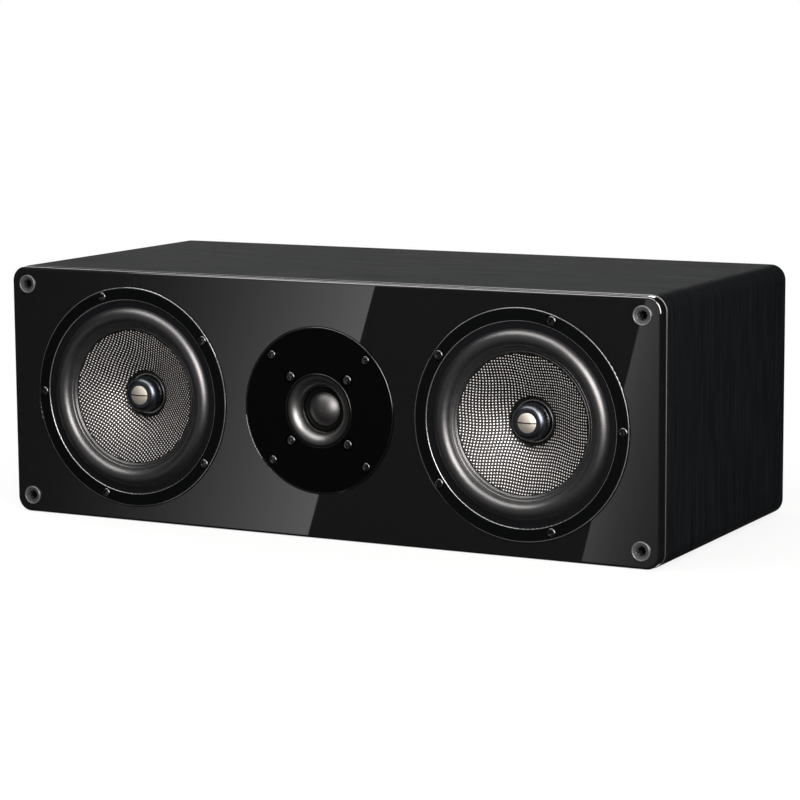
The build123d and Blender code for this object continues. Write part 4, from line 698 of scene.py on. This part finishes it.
# Studio: a dark tent that only reflections show, with two glowing cards mirrored in the lacquer.
# Each is brightest at a slanted edge and fades away from it, over a base card that lifts the black a little.
# A bent cove card lights the rolls and the flare from the left, and a low card the side from behind.
def reflection_card(name, points, faces, glows):
    material = bpy.data.materials.new(name)
    material.use_nodes = True
    glow = add_node(material, "ShaderNodeAttribute", attribute_name="glow")
    emission = add_node(material, "ShaderNodeEmission", [("Strength", glow.outputs["Fac"])])
    surface = material.node_tree.nodes["Material Output"].inputs["Surface"]
    material.node_tree.links.new(emission.outputs["Emission"], surface)
    card = add_piece(name, points, faces, material)
    card.data.attributes.new("glow", "FLOAT", "POINT").data.foreach_set("value", glows)
    card.visible_camera = card.visible_diffuse = card.visible_shadow = card.visible_transmission = False


CARD_Y = face_y - 0.8
CARD_LOW, CARD_HIGH, CARD_COLUMNS = -0.3, 0.25, 40
LACQUER_MIRROR, DARK_SHEEN = 0.0825, 0.0035
LEFT_REACH, LEFT_SHEEN, LEFT_POWER = 0.426, 0.0825, 2.3
RIGHT_REACH, RIGHT_SHEEN, RIGHT_FADE = 0.25, 0.0405, 0.058


def slanted_card(name, edge_low, edge_high, reach, sheen_at):
    points, glows = [], []
    for z, edge in ((CARD_LOW, edge_low), (CARD_HIGH, edge_high)):
        for column in range(CARD_COLUMNS + 1):
            away = reach * column / CARD_COLUMNS
            points.append((edge + away, CARD_Y, z))
            glows.append(sheen_at(abs(away)) / LACQUER_MIRROR)
    faces = [(c, c + 1, c + CARD_COLUMNS + 2, c + CARD_COLUMNS + 1) for c in range(CARD_COLUMNS)]
    reflection_card(name, points, faces, glows)


def left_sheen(away):
    return DARK_SHEEN + LEFT_SHEEN * (1 - away / LEFT_REACH) ** LEFT_POWER


def right_sheen(away):
    return DARK_SHEEN + RIGHT_SHEEN * math.exp(-away / RIGHT_FADE)


slanted_card("left_card", -0.5059, -0.3356, -LEFT_REACH, left_sheen)
slanted_card("right_card", -0.1623, -0.0224, RIGHT_REACH, right_sheen)

BASE_Y = CARD_Y - 0.01
BASE_GLOW = DARK_SHEEN / LACQUER_MIRROR
base_points = [(-1.3, BASE_Y, -0.5), (0.35, BASE_Y, -0.5), (0.35, BASE_Y, 0.3), (-1.3, BASE_Y, 0.3)]
reflection_card("base_card", base_points, [(0, 1, 2, 3)], [BASE_GLOW] * 4)

COVE_GLOW = 0.6
cove_stops = ((-2.2, 0.1), (-1.35, 0.25), (-1.05, 1.0), (-0.9, 1.0), (-0.5, 0.0))
cove_bend = ((-1.9, 0.3), (-1.9, 1.0), (-1.5, 1.5), (-0.9, 1.75), (0.6, 1.75))
bends = len(cove_bend)
cove_points = [(x, y, z) for x, _ in cove_stops for y, z in cove_bend]
cove_glows = [part * COVE_GLOW for _, part in cove_stops for _ in cove_bend]
cove_faces = [
    (bends * i + j, bends * i + j + 1, bends * (i + 1) + j + 1, bends * (i + 1) + j)
    for i in range(len(cove_stops) - 1)
    for j in range(bends - 1)
]
reflection_card("cove_card", cove_points, cove_faces, cove_glows)

BACK_Y = 1.0
BACK_GLOWS = [0.2, 1.6, 1.6, 0.2]
back_points = [(-0.6, BACK_Y, -0.5), (0.26, BACK_Y, -0.5), (0.26, BACK_Y, 0.18), (-0.6, BACK_Y, 0.18)]
reflection_card("back_low_card", back_points, [(0, 1, 2, 3)], BACK_GLOWS)

TENT_RADIUS, TENT_GLOW = 6.0, 0.015
bpy.ops.mesh.primitive_uv_sphere_add(segments=24, ring_count=12, radius=TENT_RADIUS)
tent_ball = bpy.context.active_object
tent_points = [tuple(vertex.co) for vertex in tent_ball.data.vertices]
tent_faces = [tuple(face.vertices) for face in tent_ball.data.polygons]
bpy.data.objects.remove(tent_ball)
reflection_card("dark_tent", tent_points, tent_faces, [TENT_GLOW] * len(tent_points))


# Lamps: a broad key softbox high at the front right, one over the front and one behind at the left.
# Two fills, at the rear and the left, make no highlights, and the world is plain white to the camera.
def softbox(name, place, aim, width, height, power, tint=(1, 1, 1)):
    lamp = bpy.data.lights.new(name, "AREA")
    lamp.shape, lamp.size, lamp.size_y = "RECTANGLE", width, height
    lamp.energy, lamp.color = power, tint
    box = bpy.data.objects.new(name, lamp)
    box.location = place
    box.rotation_euler = (Vector(aim) - Vector(place)).to_track_quat("-Z", "Y").to_euler()
    box.visible_camera = False
    bpy.context.scene.collection.objects.link(box)
    return box


speaker_middle = (0.0, face_y, axis_z)
softbox("key_softbox", (1.26, -1.42, 0.8), speaker_middle, 1.25, 1.5, 98, (1.0, 0.95, 0.93))
softbox("top_softbox", (-0.15, -0.8, 1.45), speaker_middle, 1.7, 0.9, 30, (1.0, 0.96, 0.94))
softbox("rear_softbox", (-1.15, 2.2, 1.0), (0, 0.1, 0.2), 1.8, 1.0, 26)
back_fill = softbox("back_softbox", (0.15, 2.1, 0.55), (0, 0.1, 0.1), 1.6, 0.9, 45)
left_fill = softbox("left_softbox", (-2.1, 0.45, 0.7), (-0.29, 0.05, 0.1), 0.8, 0.8, 60)
back_fill.visible_glossy = left_fill.visible_glossy = False
WORLD_FILL = 0.15
world = bpy.data.worlds.new("studio")
bpy.context.scene.world = world
world.use_nodes = True
sky = world.node_tree.nodes["Background"]
sky.inputs["Color"].default_value = (1, 1, 1, 1)
sky_level = ranged(world, seen_ray(world), WORLD_FILL, 1.0, 0.0, 1.0)
world.node_tree.links.new(sky_level, sky.inputs["Strength"])

# Camera: to the right of the front and a little above, with a long lens, as in the photograph.
# Its place, aim and roll come from a fit to the speaker's outline, flanges and sockets.
CAMERA_TARGET = Vector((0.072215, face_y, 0.11597))
CAMERA_DISTANCE = 2.1826
CAMERA_ANGLES = (27.794, 8.325, -0.397)
SENSOR_WIDTH, LENS_LENGTH = 36.0, 126.96
azimuth, elevation, roll = (math.radians(angle) for angle in CAMERA_ANGLES)
back = Vector(
    (math.sin(azimuth) * math.cos(elevation), -math.cos(azimuth) * math.cos(elevation), math.sin(elevation))
)
right = Vector((math.cos(azimuth), math.sin(azimuth), 0))
up = back.cross(right)
right, up = right * math.cos(roll) + up * math.sin(roll), up * math.cos(roll) - right * math.sin(roll)
lens = bpy.data.cameras.new("camera")
lens.sensor_fit, lens.sensor_width, lens.lens = "HORIZONTAL", SENSOR_WIDTH, LENS_LENGTH
camera = bpy.data.objects.new("camera", lens)
camera_turn = Matrix((right, up, back)).transposed().to_4x4()
camera.matrix_world = Matrix.Translation(CAMERA_TARGET + back * CAMERA_DISTANCE) @ camera_turn
bpy.context.scene.collection.objects.link(camera)
bpy.context.scene.camera = camera
bpy.context.scene.view_settings.view_transform = "Standard"
